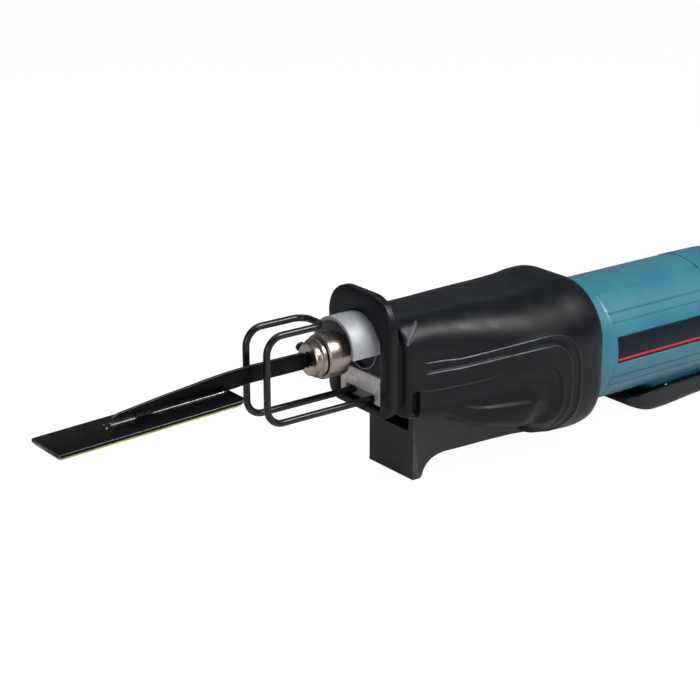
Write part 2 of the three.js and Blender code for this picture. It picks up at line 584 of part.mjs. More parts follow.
COVER_SCREWS.forEach(([x, z], i) => put(saw, 'cover_screw_' + (i + 1), STEEL,
  join(rodY(1.8, -25, 17, x, z, 12), rodY(3.3, -25.5, -22.3, x, z, 14))));

// carrier for the rear bearing, with the two brush tubes on arms
function brushCarrier() {
  const tubes = [-22, 22].map((y) => cut(
    box(253.5, 277, y - 8.9, y + 8.9, MOTOR_Z - 5.4, MOTOR_Z + 5.4),
    box(255, 263, y - 10, y + 10, MOTOR_Z - 3.7, MOTOR_Z + 3.7)));
  return join(motorRing(11.3, 31.2, 276, 284, 40), ...tubes);
}
put(saw, 'brush_carrier', BLACK, brushCarrier());
put(saw, 'rear_bearing', STEEL, motorRing(SHAFT_BORE_R, 11, 276.4, 283.6, 32));
for (const [place, side] of [['left', -1], ['right', 1]]) {
  put(saw, 'carbon_brush_' + place, CARBON,
    box(255.4, 262.6, ...across(side, 12.4, 25), MOTOR_Z - 3.3, MOTOR_Z + 3.3));
  put(saw, 'brush_cap_' + place, BLACK, cut(
    rodY(6.1, ...across(side, 31.3, 36.6), BRUSH_X, MOTOR_Z, 20),
    box(251, 267, ...across(side, 35.6, 38), MOTOR_Z - 0.8, MOTOR_Z + 0.8)));
}
put(saw, 'switch_module', BLACK,
  cut(midBox(247, 273, 8, -59.6, -44), rodZ(2.9, -62, -56, BUTTON_X, 0, 16)));
put(button, 'switch_button', BLACK, rodZ(2.4, -70.2, -61, BUTTON_X, 0, 16));

const CORD_GUARD_PROFILE = [ // radius, x
  [4.3, 361.2], [9, 361.2], [9, 364], [6.5, 364], [6.5, 372.6], [9, 373.2], [9, 376],
  [6.2, 408], [4.3, 408], [4.3, 361.2],
];
put(saw, 'cord_guard', RUBBER, motorTurn(CORD_GUARD_PROFILE, 20));
const CORD_POINTS = // x, z below the motor axis
  [[350, 0], [380, 0], [409, 0], [424, 1.2], [438, 4.5], [450, 9.5]]
    .map(([x, drop]) => new THREE.Vector3(x, 0, MOTOR_Z - drop));
put(saw, 'power_cord', RUBBER,
  sweep(3.9, 10, 14, new THREE.CatmullRomCurve3(CORD_POINTS, false, 'centripetal')));

// ---------------------------------------------------------------- paddle and lock-off lever
const PADDLE_HALF = 21.4;
const PADDLE_INNER_HALF = 19.4;
const PADDLE_SIDE = [ // x, z
  [187, -68.8], [187.2, -71.2], [188.4, -73.2], [190.5, -74.5], [194, -75.7], [198, -76.4],
  [204, -76.9], [214, -76.8], [240, -74.9], [250, -74.4], [285, -73.6], [293, -72.6],
  [295.5, -70], [295.5, -62.4], [250, -62.3], [215, -63.2], [200, -64.6], [193, -66.8],
  [189.6, -68.1],
];
const PADDLE_INNER_SIDE = [ // x, z
  [189.2, -60], [189.2, -71], [191, -72.3], [195, -73.7], [199, -74.5], [204, -74.9],
  [214, -74.7], [240, -73.4], [250, -73], [285, -71.6], [292.9, -70.8], [292.9, -60],
];
const PADDLE_NOSE = [ // x, half width
  [187, 9], [187.5, 13.6], [188.2, 15.6], [189.2, 17.2], [190.5, 18.6], [192.4, 20],
  [195, 21], [198, PADDLE_HALF],
];
const PADDLE_INNER_NOSE = [ // x, half width
  [189.2, 8], [189.5, 11.6], [190.6, 14.2], [192, 16.4], [194, 18.2], [198, PADDLE_INNER_HALF],
];

function paddleLever() {
  const nosed = (side, half, nose) => sideSlab(side, -half, half).intersect(noseSlab(nose));
  const tray = cut(nosed(PADDLE_SIDE, PADDLE_HALF, PADDLE_NOSE),
    nosed(PADDLE_INNER_SIDE, PADDLE_INNER_HALF, PADDLE_INNER_NOSE),
    midBox(196, 297, PADDLE_INNER_HALF, -66.45, -55));
  const ribbed = join(tray, midBox(256.5, 263.5, 5, -73.7, -70.65), // pad below the button
    ...boxPair(220.8, 227.2, LEVER_HALF + 0.7, LEVER_HALF + 3.4, -75.5, -71));
  return cut(ribbed, midBox(215, 239.6, LEVER_HALF + 0.4, -80, -69),
    rodY(2.35, -23, 23, PIVOT_X, PIVOT_Z, 16),
    rodY(1.85, -LEVER_HALF - 4, LEVER_HALF + 4, LOCK_X, LOCK_Z, 12));
}
put(paddle, 'paddle_lever', BLACK, paddleLever());
put(saw, 'paddle_pin', STEEL, rodY(2, -21.1, 21.1, PIVOT_X, PIVOT_Z, 16));

const LOCK_LEVER_SIDE = [ // x, z
  [217, -76.5], [216.9, -78], [219, -79], [225, -78.7], [229, -79.2], [234.6, -78.6],
  [237.2, -76.6], [237.6, -74.3], [236, -74.8], [233, -76.2], [227.4, -75.4], [227.4, -71.2],
  [225.6, -69.7], [222.4, -69.7], [220.6, -71.2], [220.6, -75.4],
];
put(lockLever, 'lock_off_lever', BLACK, join(
  sideSlab(LOCK_LEVER_SIDE, -LEVER_HALF, LEVER_HALF),
  rodY(1.45, -LEVER_HALF - 3.1, LEVER_HALF + 3.1, LOCK_X, LOCK_Z, 12))); // pivot stubs

// upright coil of 3.5 turns in the front of the paddle
class SpringCurve extends THREE.Curve {
  getPoint(t, target = new THREE.Vector3()) {
    const angle = 2 * Math.PI * 3.5 * t;
    return target.set(200 + 4 * Math.cos(angle), 4 * Math.sin(angle), -74 + 7 * t);
  }
}
put(saw, 'paddle_spring', STEEL, sweep(0.6, 5, 42, new SpringCurve()));

// move the origin from the flange plane to the floor of the blade slot
for (const top of group.children) top.position.x += SLOT_DEPTH_X;

export default group;
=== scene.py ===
"""Compact reciprocating saw with a grit blade, modelled over its CAD pieces.

It lies along X: the blade points to -X, the cord leaves to +X, +Z is up and left is -Y.
Sizes are in millimetres. X is counted from the flange plane at the front of the rubber
boot, which is 20 mm behind the frame origin.
"""
import math

import bmesh
import bpy
import numpy as np
from mathutils import Matrix, Vector


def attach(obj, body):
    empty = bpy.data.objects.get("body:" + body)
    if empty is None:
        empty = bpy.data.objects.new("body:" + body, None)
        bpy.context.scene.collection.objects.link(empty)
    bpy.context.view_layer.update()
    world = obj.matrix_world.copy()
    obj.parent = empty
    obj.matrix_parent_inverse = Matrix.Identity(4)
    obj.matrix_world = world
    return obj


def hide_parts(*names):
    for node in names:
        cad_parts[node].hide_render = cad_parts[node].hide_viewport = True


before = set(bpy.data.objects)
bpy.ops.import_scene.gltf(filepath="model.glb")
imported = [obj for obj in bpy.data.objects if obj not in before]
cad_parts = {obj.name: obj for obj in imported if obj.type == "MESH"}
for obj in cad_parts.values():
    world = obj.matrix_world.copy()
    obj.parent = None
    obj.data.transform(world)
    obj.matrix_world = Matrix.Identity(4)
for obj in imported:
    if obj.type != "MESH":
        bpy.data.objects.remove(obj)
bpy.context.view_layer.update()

MM = 0.001
FLANGE_X = 20.0      # flange plane, from the frame origin
MOTOR_Z = -28.2      # height of the motor axis, which runs along X
SIDES = ((-1, "left"), (1, "right"))


# ------------------------------------------------------------------ curves and outlines
def ramp(start, end, value):
    """Smooth step from 0 at start to 1 at end."""
    share = np.clip((np.asarray(value, float) - start) / (end - start), 0, 1)
    return share * share * (3 - 2 * share)


def window(value, rise_start, rise_end, fall_start, fall_end):
    """Smooth rise from 0 to 1, then a smooth fall back to 0."""
    return ramp(rise_start, rise_end, value) * (1 - ramp(fall_start, fall_end, value))


def hermite(stations, values, slopes, wanted):
    """Cubic through rows of values with the given slopes."""
    i = np.clip(np.searchsorted(stations, wanted, side="right") - 1, 0, len(stations) - 2)
    step = (stations[i + 1] - stations[i])[:, None]
    t = np.clip((wanted - stations[i])[:, None] / step, 0, 1)
    t2, t3 = t * t, t * t * t
    return ((2 * t3 - 3 * t2 + 1) * values[i] + (t3 - 2 * t2 + t) * step * slopes[i]
            + (-2 * t3 + 3 * t2) * values[i + 1] + (t3 - t2) * step * slopes[i + 1])


def rows_at(table, wanted):
    """Monotone cubic through a table: stations in its first column, values in the others."""
    stations, values = table[:, 0], table[:, 1:]
    steps = np.diff(stations)[:, None]
    grades = np.diff(values, axis=0) / steps
    before, after = grades[:-1], grades[1:]
    weight_1 = 2 * steps[1:] + steps[:-1]
    weight_2 = steps[1:] + 2 * steps[:-1]
    inner = np.divide((weight_1 + weight_2) * before * after, weight_1 * after + weight_2 * before,
                      out=np.zeros_like(before), where=before * after > 0)
    slopes = np.concatenate([grades[:1], inner, grades[-1:]])
    return hermite(stations, values, slopes, np.asarray(wanted, float))


def spline(points, per_span=8):
    """Smooth curve through 2-D points."""
    points = np.array(points, float)
    lengths = np.linalg.norm(np.diff(points, axis=0), axis=1)
    along = np.concatenate([[0], np.cumsum(lengths)])
    wanted = np.linspace(0, along[-1], per_span * (len(points) - 1) + 1)
    return hermite(along, points, np.gradient(points, along, axis=0), wanted)


def stations(*parts):
    """Sorted stations without repeats."""
    return np.unique(np.round(np.concatenate(parts), 3))


def circle(count):
    turn = 2 * np.pi * np.arange(count) / count
    return np.cos(turn), np.sin(turn)


def arc(x, y, radius, start, end, steps):
    """Points on an arc, with its angles in degrees."""
    turns = [math.radians(start + (end - start) * k / steps) for k in range(steps + 1)]
    return [(x + radius * math.cos(turn), y + radius * math.sin(turn)) for turn in turns]


def rect(x0, x1, y0, y1):
    return [(x0, y0), (x1, y0), (x1, y1), (x0, y1)]


def fillet(points, radii, steps=6):
    """Rounds the corners of a closed outline."""
    out = []
    for i, point in enumerate(points):
        corner = np.array(point, float)
        radius = radii[i] if hasattr(radii, "__len__") else radii
        trim = 0
        if radius > 0:
            back = np.array(points[i - 1], float) - corner
            ahead = np.array(points[(i + 1) % len(points)], float) - corner
            back_length, ahead_length = np.linalg.norm(back), np.linalg.norm(ahead)
            back, ahead = back / back_length, ahead / ahead_length
            half = math.acos(max(-1, min(1, float(back @ ahead)))) / 2
            if half < 1.55:
                trim = min(radius / math.tan(half), back_length * 0.48, ahead_length * 0.48)
        if trim <= 1e-6:
            out.append(tuple(corner))
            continue
        start, end = corner + back * trim, corner + ahead * trim
        for k in range(steps + 1):
            t = k / steps
            out.append(tuple((1 - t) ** 2 * start + 2 * t * (1 - t) * corner + t * t * end))
    return out


def section(x, half, top, low, top_round, low_round, counts):
    """Rounded oblong across X, from the +Y side up, over the top and round.

    counts: points in each corner, then between them on the top, each side and the bottom.
    """
    corner_count, top_count, side_count, low_count = counts
    top_y, top_z = half - top_round, top - top_round
    low_y, low_z = half - low_round, low + low_round
    arcs = [arc(*corner, corner_count - 1) for corner in (
        (top_y, top_z, top_round, 0, 90), (-top_y, top_z, top_round, 90, 180),
        (-low_y, low_z, low_round, 180, 270), (low_y, low_z, low_round, 270, 360))]
    outline = []
    gaps = (top_count, side_count, low_count, side_count)
    for here, following, count in zip(arcs, arcs[1:] + arcs[:1], gaps):
        outline += here
        outline += list(np.linspace(here[-1], following[0], count + 2)[1:-1])
    return [(x, y, z) for y, z in outline]


def line_distance(x, z, points):
    """Distance from each (x, z) to an open polyline."""
    best = np.full(x.shape, 1e9)
    for (x0, z0), (x1, z1) in zip(points[:-1], points[1:]):
        dx, dz = x1 - x0, z1 - z0
        t = np.clip(((x - x0) * dx + (z - z0) * dz) / (dx * dx + dz * dz + 1e-12), 0, 1)
        best = np.minimum(best, np.hypot(x - x0 - t * dx, z - z0 - t * dz))
    return best


def inside_outline(x, z, points):
    inside = np.zeros(x.shape, bool)
    for (x0, z0), (x1, z1) in zip(points, np.roll(points, -1, axis=0)):
        if z0 != z1:
            crosses = (z0 > z) != (z1 > z)
            inside ^= crosses & (x < x0 + (z - z0) * (x1 - x0) / (z1 - z0))
    return inside


# ------------------------------------------------------------------ shader graphs
class Graph:
    """Node tree of a material or world. Each node gives back one output socket."""

    def __init__(self, owner, coordinate="Object"):
        owner.use_nodes = True
        self.tree = owner.node_tree
        self.tree.nodes.clear()
        self.position = self.add("ShaderNodeTexCoord", {}, coordinate)

    def feed(self, socket, value):
        if isinstance(value, bpy.types.NodeSocket):
            self.tree.links.new(value, socket)
        else:
            socket.default_value = value

    def add(self, kind, inputs, output=0, **settings):
        node = self.tree.nodes.new(kind)
        for key, value in settings.items():
            setattr(node, key, value)
        for socket, value in inputs.items():
            self.feed(node.inputs[socket], value)
        return node.outputs[output]

    def finish(self, kind, closure):
        self.feed(self.tree.nodes.new(kind).inputs[0], closure)

    def noise(self, scale, detail, roughness=0.5, vector=None):
        inputs = {"Scale": scale, "Detail": detail, "Roughness": roughness,
                  "Vector": vector or self.position}
        return self.add("ShaderNodeTexNoise", inputs, "Fac")

    def remap(self, value, start, stop, low=0, high=1, kind="SMOOTHSTEP"):
        """Takes start..stop to low..high."""
        return self.add("ShaderNodeMapRange", {0: value, 1: start, 2: stop, 3: low, 4: high},
                        interpolation_type=kind)

    def math(self, operation, first, second):
        return self.add("ShaderNodeMath", {0: first, 1: second}, operation=operation)

    def multiply(self, first, second):
        return self.math("MULTIPLY", first, second)

    def mix(self, factor, first, second):
        return self.add("ShaderNodeMix", {0: factor, 6: first, 7: second}, 2, data_type="RGBA")

    def axis(self, letter):
        return self.add("ShaderNodeSeparateXYZ", {0: self.position}, letter)

    def is_camera_ray(self):
        return self.add("ShaderNodeLightPath", {}, "Is Camera Ray")

    def bump(self, height, strength, distance, normal=None):
        inputs = {"Strength": strength, "Distance": distance, "Height": height}
        if normal:
            inputs["Normal"] = normal
        return self.add("ShaderNodeBump", inputs)


def linear(rgb):
    """Linear colour with alpha, from 8-bit sRGB."""
    shares = [c / 255 for c in rgb]
    return tuple(c / 12.92 if c <= 0.04045 else ((c + 0.055) / 1.055) ** 2.4
                 for c in shares) + (1.0,)


def surface(name, colour, roughness, metallic=0.0, specular=0.5, spread=0.12, rough_spread=0.1,
            grain=1500, depth=3e-5, strength=0.35, pebble=False, waves=4e-4, lines=None,
            tint=None, worn=None, wear=0.5, dust=0.0, coat=0.0, crest=None, fade=None):
    """Moulded, cast, ground or painted finish. Colours are 8-bit sRGB, depths are metres.

    spread, rough_spread: how far colour and roughness wander; tint: the lighter mottle
    grain, depth, strength: scale and relief of the fine bump; pebble makes it cellular
    waves: depth of the broad bump; lines: (noise scale per axis, depth) of tool marks
    worn, wear: colour and amount of rubbing on the edges; dust: amount of pale speckle
    crest: colour of the painted highlight laid where the crest attribute is set; fade: (from X, to
    X, colour) in metres
    """
    material = bpy.data.materials.new(name)
    graph = Graph(material)
    base = linear(colour)

    def adjusted(scale, offset=0):
        return tuple(min(1, c * scale + offset) for c in base[:3]) + (1.0,)

    # mottled colour
    broad = graph.noise(scale=35, detail=4, roughness=0.6)
    middle = graph.noise(scale=240, detail=4, roughness=0.6)
    light = linear(tint) if tint else adjusted(1 + spread)
    mottle = graph.mix(graph.remap(broad, start=0.32, stop=0.68), adjusted(1 - spread), light)
    patches = graph.multiply(graph.remap(middle, start=0.4, stop=0.75), 0.35)
    mottle = graph.mix(patches, mottle, base)
    if dust:
        speckle = graph.noise(scale=90, detail=6, roughness=0.7)
        speckle = graph.multiply(graph.remap(speckle, start=0.52, stop=0.75), dust)
        mottle = graph.mix(speckle, mottle, adjusted(0.75, 0.08))
    gloss = graph.remap(graph.noise(scale=130, detail=5, roughness=0.6), start=0.3, stop=0.7,
                        low=-rough_spread, high=rough_spread)
    gloss = graph.math("ADD", roughness, gloss)

    # rubbed edges, a little smoother than the rest
    if worn:
        pointiness = graph.add("ShaderNodeNewGeometry", {}, "Pointiness")
        broken = graph.remap(graph.noise(scale=400, detail=4, roughness=0.7),
                             start=0.35, stop=0.6, low=0.25)
        edge = graph.multiply(graph.remap(pointiness, start=0.53, stop=0.62), broken)
        edge = graph.multiply(edge, wear)
        mottle = graph.mix(edge, mottle, linear(worn))
        gloss = graph.math("SUBTRACT", gloss, graph.multiply(edge, 0.12))
    # painted highlight: lighter colour laid along the crest lines stored on the mesh
    if crest:
        mark = graph.add("ShaderNodeAttribute", {}, "Fac", attribute_name="crest")
        broken = graph.remap(graph.noise(scale=260, detail=4, roughness=0.7),
                             start=0.3, stop=0.6, low=0.55)
        mottle = graph.mix(graph.multiply(mark, broken), mottle, linear(crest))
    if fade:
        start, stop, far_colour = fade
        mottle = graph.mix(graph.remap(graph.axis("X"), start, stop), mottle, linear(far_colour))

    # relief
    if pebble:
        inputs = {"Scale": grain, "Vector": graph.position}
        fine = graph.add("ShaderNodeTexVoronoi", inputs, "Distance")
    else:
        fine = graph.noise(scale=grain, detail=2)
    normal = graph.bump(fine, strength, depth)
    normal = graph.bump(broad, strength=0.12, distance=waves, normal=normal)
    if lines:
        stretch, line_depth = lines
        stretched = graph.add("ShaderNodeMapping", {"Scale": stretch, 0: graph.position})
        marks = graph.noise(scale=1.0, detail=3, roughness=0.6, vector=stretched)
        normal = graph.bump(marks, strength=0.6, distance=line_depth, normal=normal)

    inputs = {"Base Color": mottle, "Roughness": gloss, "Metallic": metallic,
              "Specular IOR Level": specular, "Normal": normal}
    if coat:
        inputs.update({"Coat Weight": coat, "Coat Roughness": 0.2})
    graph.finish("ShaderNodeOutputMaterial", graph.add("ShaderNodeBsdfPrincipled", inputs))
    return material


teal = surface("moulded_teal", (46, 109, 128), roughness=0.36, spread=0.05, grain=1700,
               depth=2e-5, strength=0.22, tint=(53, 115, 131), worn=(104, 155, 166), wear=0.22,
               rough_spread=0.05, specular=0.45, waves=1.2e-4)
teal_rear = surface("moulded_teal_rear", (45, 108, 126), roughness=0.38, spread=0.05, grain=1700,
                    depth=2e-5, strength=0.22, worn=(118, 172, 184), wear=0.22,
                    rough_spread=0.05, specular=0.45)
# the crest colour is a painted highlight along the boot's ledge, front step and recess rim
rubber = surface("boot_rubber", (10, 12, 15), roughness=0.40, grain=2300, depth=2e-5,
                 strength=0.3, tint=(12, 15, 19), worn=(44, 48, 54), wear=0.2,
                 rough_spread=0.06, specular=0.22, dust=0.03, waves=1.2e-4,
                 crest=(96, 101, 107))
# painted highlight: the ribs' light colour stands in for light on their crests, fading to dark
# rubber towards the rear where the highlight fades
rib_highlight_rubber = surface("boot_rib_painted_highlight", (88, 93, 99), roughness=0.36, spread=0.2, grain=2300,
                     depth=2e-5, strength=0.3, tint=(120, 126, 132), rough_spread=0.08,
                     fade=(0.085, 0.135, (15, 17, 20)))
cord_rubber = surface("cord_rubber", (28, 29, 31), roughness=0.5, grain=1800, depth=2e-5,
                      dust=0.15, specular=0.4)
guard_plastic = surface("guard_plastic", (22, 24, 25), roughness=0.42, spread=0.1, grain=1900,
                        worn=(92, 95, 98), wear=0.3, rough_spread=0.08, specular=0.45,
                        dust=0.08, pebble=True)
paddle_plastic = surface("paddle_plastic", (16, 18, 19), roughness=0.38, spread=0.1, grain=1900,
                         depth=2e-5, strength=0.3, worn=(80, 82, 84), wear=0.25,
                         rough_spread=0.06, specular=0.45)
blasted_cast = surface("blasted_aluminium", (158, 160, 164), roughness=0.6, metallic=0.55,
                       spread=0.05, grain=2600, depth=4e-5, strength=0.6,
                       worn=(235, 235, 236), wear=0.6, rough_spread=0.06)
dull_cast = surface("cast_aluminium", (120, 120, 122), roughness=0.6, metallic=0.8, spread=0.14,
                    grain=900, depth=1e-4, strength=0.8)
bracket_metal = surface("bracket_metal", (176, 168, 167), roughness=0.5, metallic=0.6,
                        spread=0.06, grain=2200, depth=4e-5, strength=0.5,
                        worn=(230, 226, 224), rough_spread=0.08)
nickel = surface("turned_nickel", (158, 146, 137), roughness=0.30, metallic=1.0, spread=0.05,
                 grain=3000, depth=5e-6, strength=0.2, lines=((5200, 60, 60), 1.2e-5),
                 worn=(214, 206, 199), wear=0.4, rough_spread=0.06)
steel = surface("ground_steel", (158, 160, 164), roughness=0.3, metallic=1.0, spread=0.06,
                grain=2500, depth=1e-5, lines=((60, 3200, 3200), 1e-5), rough_spread=0.08)
coated_wire = surface("coated_wire", (5, 6, 7), roughness=0.32, spread=0.15, grain=1400,
                      depth=2e-5, strength=0.2, coat=0.2, rough_spread=0.07, specular=0.35,
                      worn=(50, 50, 52), wear=0.25)
blade_steel = surface("blackened_steel", (4, 4, 5), roughness=0.36, specular=0.10, spread=0.15,
                      depth=2e-5, lines=((90, 1500, 1500), 1e-5), worn=(190, 190, 190),
                      wear=0.8, dust=0.08)
# painted highlight for the blade's narrow chamfers
edge_highlight_steel = surface("painted_edge_highlight", (92, 93, 94), roughness=0.4, metallic=0.5, spread=0.2,
                     grain=1800, depth=2e-5)
weld_metal = surface("weld_bead", (146, 145, 142), roughness=0.38, metallic=0.9, spread=0.25,
                     grain=900, depth=1.2e-4, strength=0.8, rough_spread=0.15)
grit = surface("grit_face", (196, 214, 112), roughness=0.75, metallic=0.1, spread=0.3,
               grain=1300, depth=3e-4, strength=1.0, pebble=True)
copper = surface("enamelled_copper", (166, 92, 52), roughness=0.35, metallic=0.9, spread=0.14,
                 grain=800, depth=2e-4, strength=0.9, lines=((40, 2600, 2600), 2e-4))
laminations = surface("lamination_stack", (86, 88, 92), roughness=0.5, metallic=0.8,
                      lines=((2000, 30, 30), 8e-5))
carbon = surface("brush_carbon", (44, 44, 46), roughness=0.6, metallic=0.1, spread=0.15,
                 grain=2200)
bronze = surface("sintered_bronze", (150, 116, 72), roughness=0.42, metallic=0.9, grain=2200,
                 depth=5e-5, strength=0.6)
zinc = surface("zinc_plated", (172, 172, 176), roughness=0.28, metallic=1.0, spread=0.08,
               grain=2000, depth=1e-5, worn=(220, 220, 222))


def film_material():
    """Dark gloss film with one thin red rule printed near its lower edge."""
    material = bpy.data.materials.new("label_film")
    graph = Graph(material)
    height = graph.axis("Z")
    above = graph.remap(height, start=-0.03137, stop=-0.03122, kind="LINEAR")
    below = graph.remap(height, start=-0.03022, stop=-0.03007, low=1, high=0, kind="LINEAR")
    rule = graph.multiply(above, below)
    ink_mottle = graph.noise(scale=60, detail=4, roughness=0.6)
    ink = graph.mix(graph.remap(ink_mottle, start=0.3, stop=0.7),
                    linear((12, 18, 27)), linear((17, 24, 34)))
    red_mottle = graph.noise(scale=500, detail=3, roughness=0.6)
    red = graph.mix(graph.remap(red_mottle, start=0.3, stop=0.7),
                    linear((196, 34, 58)), linear((212, 48, 72)))
    gloss = graph.noise(scale=300, detail=4, roughness=0.6)
    fine = graph.noise(scale=1400, detail=2)
    graph.finish("ShaderNodeOutputMaterial", graph.add("ShaderNodeBsdfPrincipled", {
        "Base Color": graph.mix(rule, ink, red),
        "Roughness": graph.remap(gloss, start=0.3, stop=0.7, low=0.34, high=0.46),
        "Specular IOR Level": 0.2, "Coat Roughness": 0.2,
        "Normal": graph.bump(fine, strength=0.15, distance=1e-5)}))
    return material


film = film_material()

# ------------------------------------------------------------------ mesh helpers
# Columns (along, across, across) picked into x, y, z order for each axis.
LAYOUT = {"X": [0, 1, 2], "Y": [1, 0, 2], "Z": [1, 2, 0]}


def new_object(name, verts, faces, material):
    mesh = bpy.data.meshes.new(name)
    mesh.from_pydata(((np.array(verts, float) + (FLANGE_X, 0, 0)) * MM).tolist(), [], faces)
    mesh.materials.append(material)
    piece = bpy.data.objects.new(name, mesh)
    bpy.context.scene.collection.objects.link(piece)
    return piece


def solid(name, verts, faces, material):
    """Object with coincident points merged and its faces turned outward."""
    piece = new_object(name, verts, faces, material)
    bm = bmesh.new()
    bm.from_mesh(piece.data)
    bmesh.ops.remove_doubles(bm, verts=bm.verts, dist=2e-7)
    bmesh.ops.dissolve_degenerate(bm, edges=bm.edges, dist=1e-8)
    bmesh.ops.recalc_face_normals(bm, faces=bm.faces)
    bm.to_mesh(piece.data)
    bm.free()
    return piece


def bake(piece):
    """Applies the modifiers."""
    bpy.context.view_layer.update()
    graph = bpy.context.evaluated_depsgraph_get()
    mesh = bpy.data.meshes.new_from_object(piece.evaluated_get(graph))
    old = piece.data
    piece.modifiers.clear()
    piece.data = mesh
    bpy.data.meshes.remove(old)
    return piece


def bevel(piece, width, segments=3, angle=30):
    modifier = piece.modifiers.new("edge", "BEVEL")
    modifier.width = width * MM
    modifier.segments = segments
    modifier.limit_method = "ANGLE"
    modifier.angle_limit = math.radians(angle)
    modifier.use_clamp_overlap = True
    return bake(piece)


def boolean(piece, cutters, operation="DIFFERENCE"):
    """Applies each cutter in turn and deletes it."""
    for cutter in cutters:
        modifier = piece.modifiers.new("cut", "BOOLEAN")
        modifier.operation = operation
        modifier.solver = "EXACT"
        modifier.object = cutter
        bake(piece)
        mesh = cutter.data
        bpy.data.objects.remove(cutter)
        bpy.data.meshes.remove(mesh)
    return piece


def place(piece, replaces=None, body="saw_body", sharp=35):
    """Shades a finished piece, hangs it under its body's empty and hides the CAD piece it replaces.
    """
    piece.data.shade_smooth()
    piece.data.set_sharp_from_angle(angle=math.radians(sharp))
    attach(piece, body)
    if replaces:
        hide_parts(replaces)


def grid_faces(rows, columns, wrap_rows=False, wrap_columns=True, offset=0):
    faces = []
    for i in range(rows if wrap_rows else rows - 1):
        for j in range(columns if wrap_columns else columns - 1):
            here = i * columns + offset
            following = ((i + 1) % rows) * columns + offset
            beside = (j + 1) % columns
            faces.append((here + j, here + beside, following + beside, following + j))
    return faces


def ring_solid(name, rings, material, closed=False):
    """Skin over equal rings. The ends are filled unless the rings close on themselves."""
    rings = np.asarray(rings, float)
    rows, count = rings.shape[:2]
    verts = list(rings.reshape(-1, 3))
    faces = grid_faces(rows, count, wrap_rows=closed)
    if not closed:
        for row in (0, rows - 1):
            first = row * count
            faces += [(first + j, first + (j + 1) % count, len(verts)) for j in range(count)]
            verts.append(rings[row].mean(0))
    return solid(name, verts, faces, material)


def slab(name, outer, inner, material):
    """Two matching open grids joined round their borders."""
    rows, columns = outer.shape[:2]
    size = rows * columns
    verts = np.concatenate([outer.reshape(-1, 3), inner.reshape(-1, 3)])
    faces = grid_faces(rows, columns, wrap_columns=False)
    faces += [face[::-1] for face in grid_faces(rows, columns, wrap_columns=False, offset=size)]
    index = np.arange(size).reshape(rows, columns)
    border = np.concatenate([index[:, 0], index[-1, 1:], index[-2::-1, -1],
                             index[0, -2:0:-1]]).tolist()
    faces += [(a, b, b + size, a + size) for a, b in zip(border, border[1:] + border[:1])]
    return solid(name, verts, faces, material)


def prism(name, outline, low, high, axis, material, origin=(0, 0, 0)):
    """Outline pulled straight along an axis. Its points hold the other two axes in order."""
    count = len(outline)
    ends = [np.insert(np.array(outline, float), 0, along, axis=1) for along in (low, high)]
    verts = np.concatenate(ends)[:, LAYOUT[axis]] + origin
    faces = [tuple(range(count)), tuple(range(2 * count - 1, count - 1, -1))]
    faces += [(j, (j + 1) % count, count + (j + 1) % count, count + j) for j in range(count)]
    return solid(name, verts, faces, material)


def block(name, x_range, y_range, z_range, material):
    return prism(name, rect(*x_range, *z_range), *y_range, "Y", material)


def revolve(profile, count, axis, origin):
    """Rings of a profile of (along, radius) turned about an axis through origin."""
    cosine, sine = circle(count)
    rings = [np.stack([np.full(count, along), radius * cosine, radius * sine], -1)
             for along, radius in profile]
    return np.array(rings)[..., LAYOUT[axis]] + origin


def turned(name, profile, material, count=96, axis="X", origin=(0, 0, 0), ring=False):
    """Turned solid, or a ring when the profile closes on itself away from the axis."""
    return ring_solid(name, revolve(profile, count, axis, origin), material, closed=ring)


def rod_cutter(radius, start, end, material, count, axis="X", origin=(0, 0, 0)):
    return turned("cutter", [(start, radius), (end, radius)], material, count, axis, origin)


def tube(name, path, radius, material, count):
    """Wire or cord along a path. The radius is one number or one per point."""
    path = np.array(path, float)
    forwards = np.gradient(path, axis=0)
    forwards /= np.linalg.norm(forwards, axis=1)[:, None]
    cosine, sine = circle(count)
    across = np.cross(forwards[0], [0, 0, 1.0])
    rings = []
    for point, forward, size in zip(path, forwards, np.broadcast_to(radius, len(path))):
        across = across - forward * (across @ forward)
        across /= np.linalg.norm(across)
        spokes = np.outer(cosine, across) + np.outer(sine, np.cross(forward, across))
        rings.append(point + size * spokes)
    return ring_solid(name, rings, material)


# ------------------------------------------------------------------ rubber boot
# x, half width, top z, bottom z, top corner radius, bottom corner radius
BOOT = np.array([
    [0, 25.6, 29.8, -33.6, 15.7, 8], [0.4, 26.5, 30.7, -34.5, 16.5, 8.6],
    [1.2, 27, 31.2, -35, 17, 9], [4.4, 27, 31.2, -35, 17, 9],
    [5.2, 26.5, 30.7, -34.5, 16.6, 8.6], [5.6, 25.2, 29.4, -34.2, 16, 8.2],
    [6.0, 23.9, 16.4, -33.6, 14, 8], [6.6, 23.4, 14.2, -33.4, 14, 8],
    [9.8, 23.4, 13.5, -33.4, 14, 7], [10.6, 24.4, 13.7, -34.2, 14.4, 6],
    [11.8, 26.6, 14.6, -35.6, 15, 5], [16, 27.6, 15.3, -36.9, 16, 5],
    [31, 28.5, 15.6, -39.2, 16.6, 6], [45, 31, 15.4, -43.6, 19, 9],
    [60, 34.6, 15.5, -50.6, 22.5, 13], [80, 39.5, 15, -54, 26, 14],
    [92, 41.9, 15, -57, 28.5, 18], [99, 42.4, 15, -64.4, 29, 27],
    [106, 42.5, 15.2, -68.4, 29, 30], [116, 42.6, 16, -69.2, 30, 28.5],
    [124, 42.5, 17.2, -69.4, 30.5, 27.5], [131, 42.0, 17.6, -69.2, 30.5, 26.5],
    [136.6, 41.2, 16.4, -68.6, 30.5, 26.5], [139.6, 39.9, 14.4, -67.4, 30.5, 27.3],
    [140.6, 38.9, 13.2, -66.5, 30.3, 27.6], [141, 38.1, 12.4, -65.9, 30.2, 27.6]])
BOOT_COUNTS = (44, 14, 92, 20)

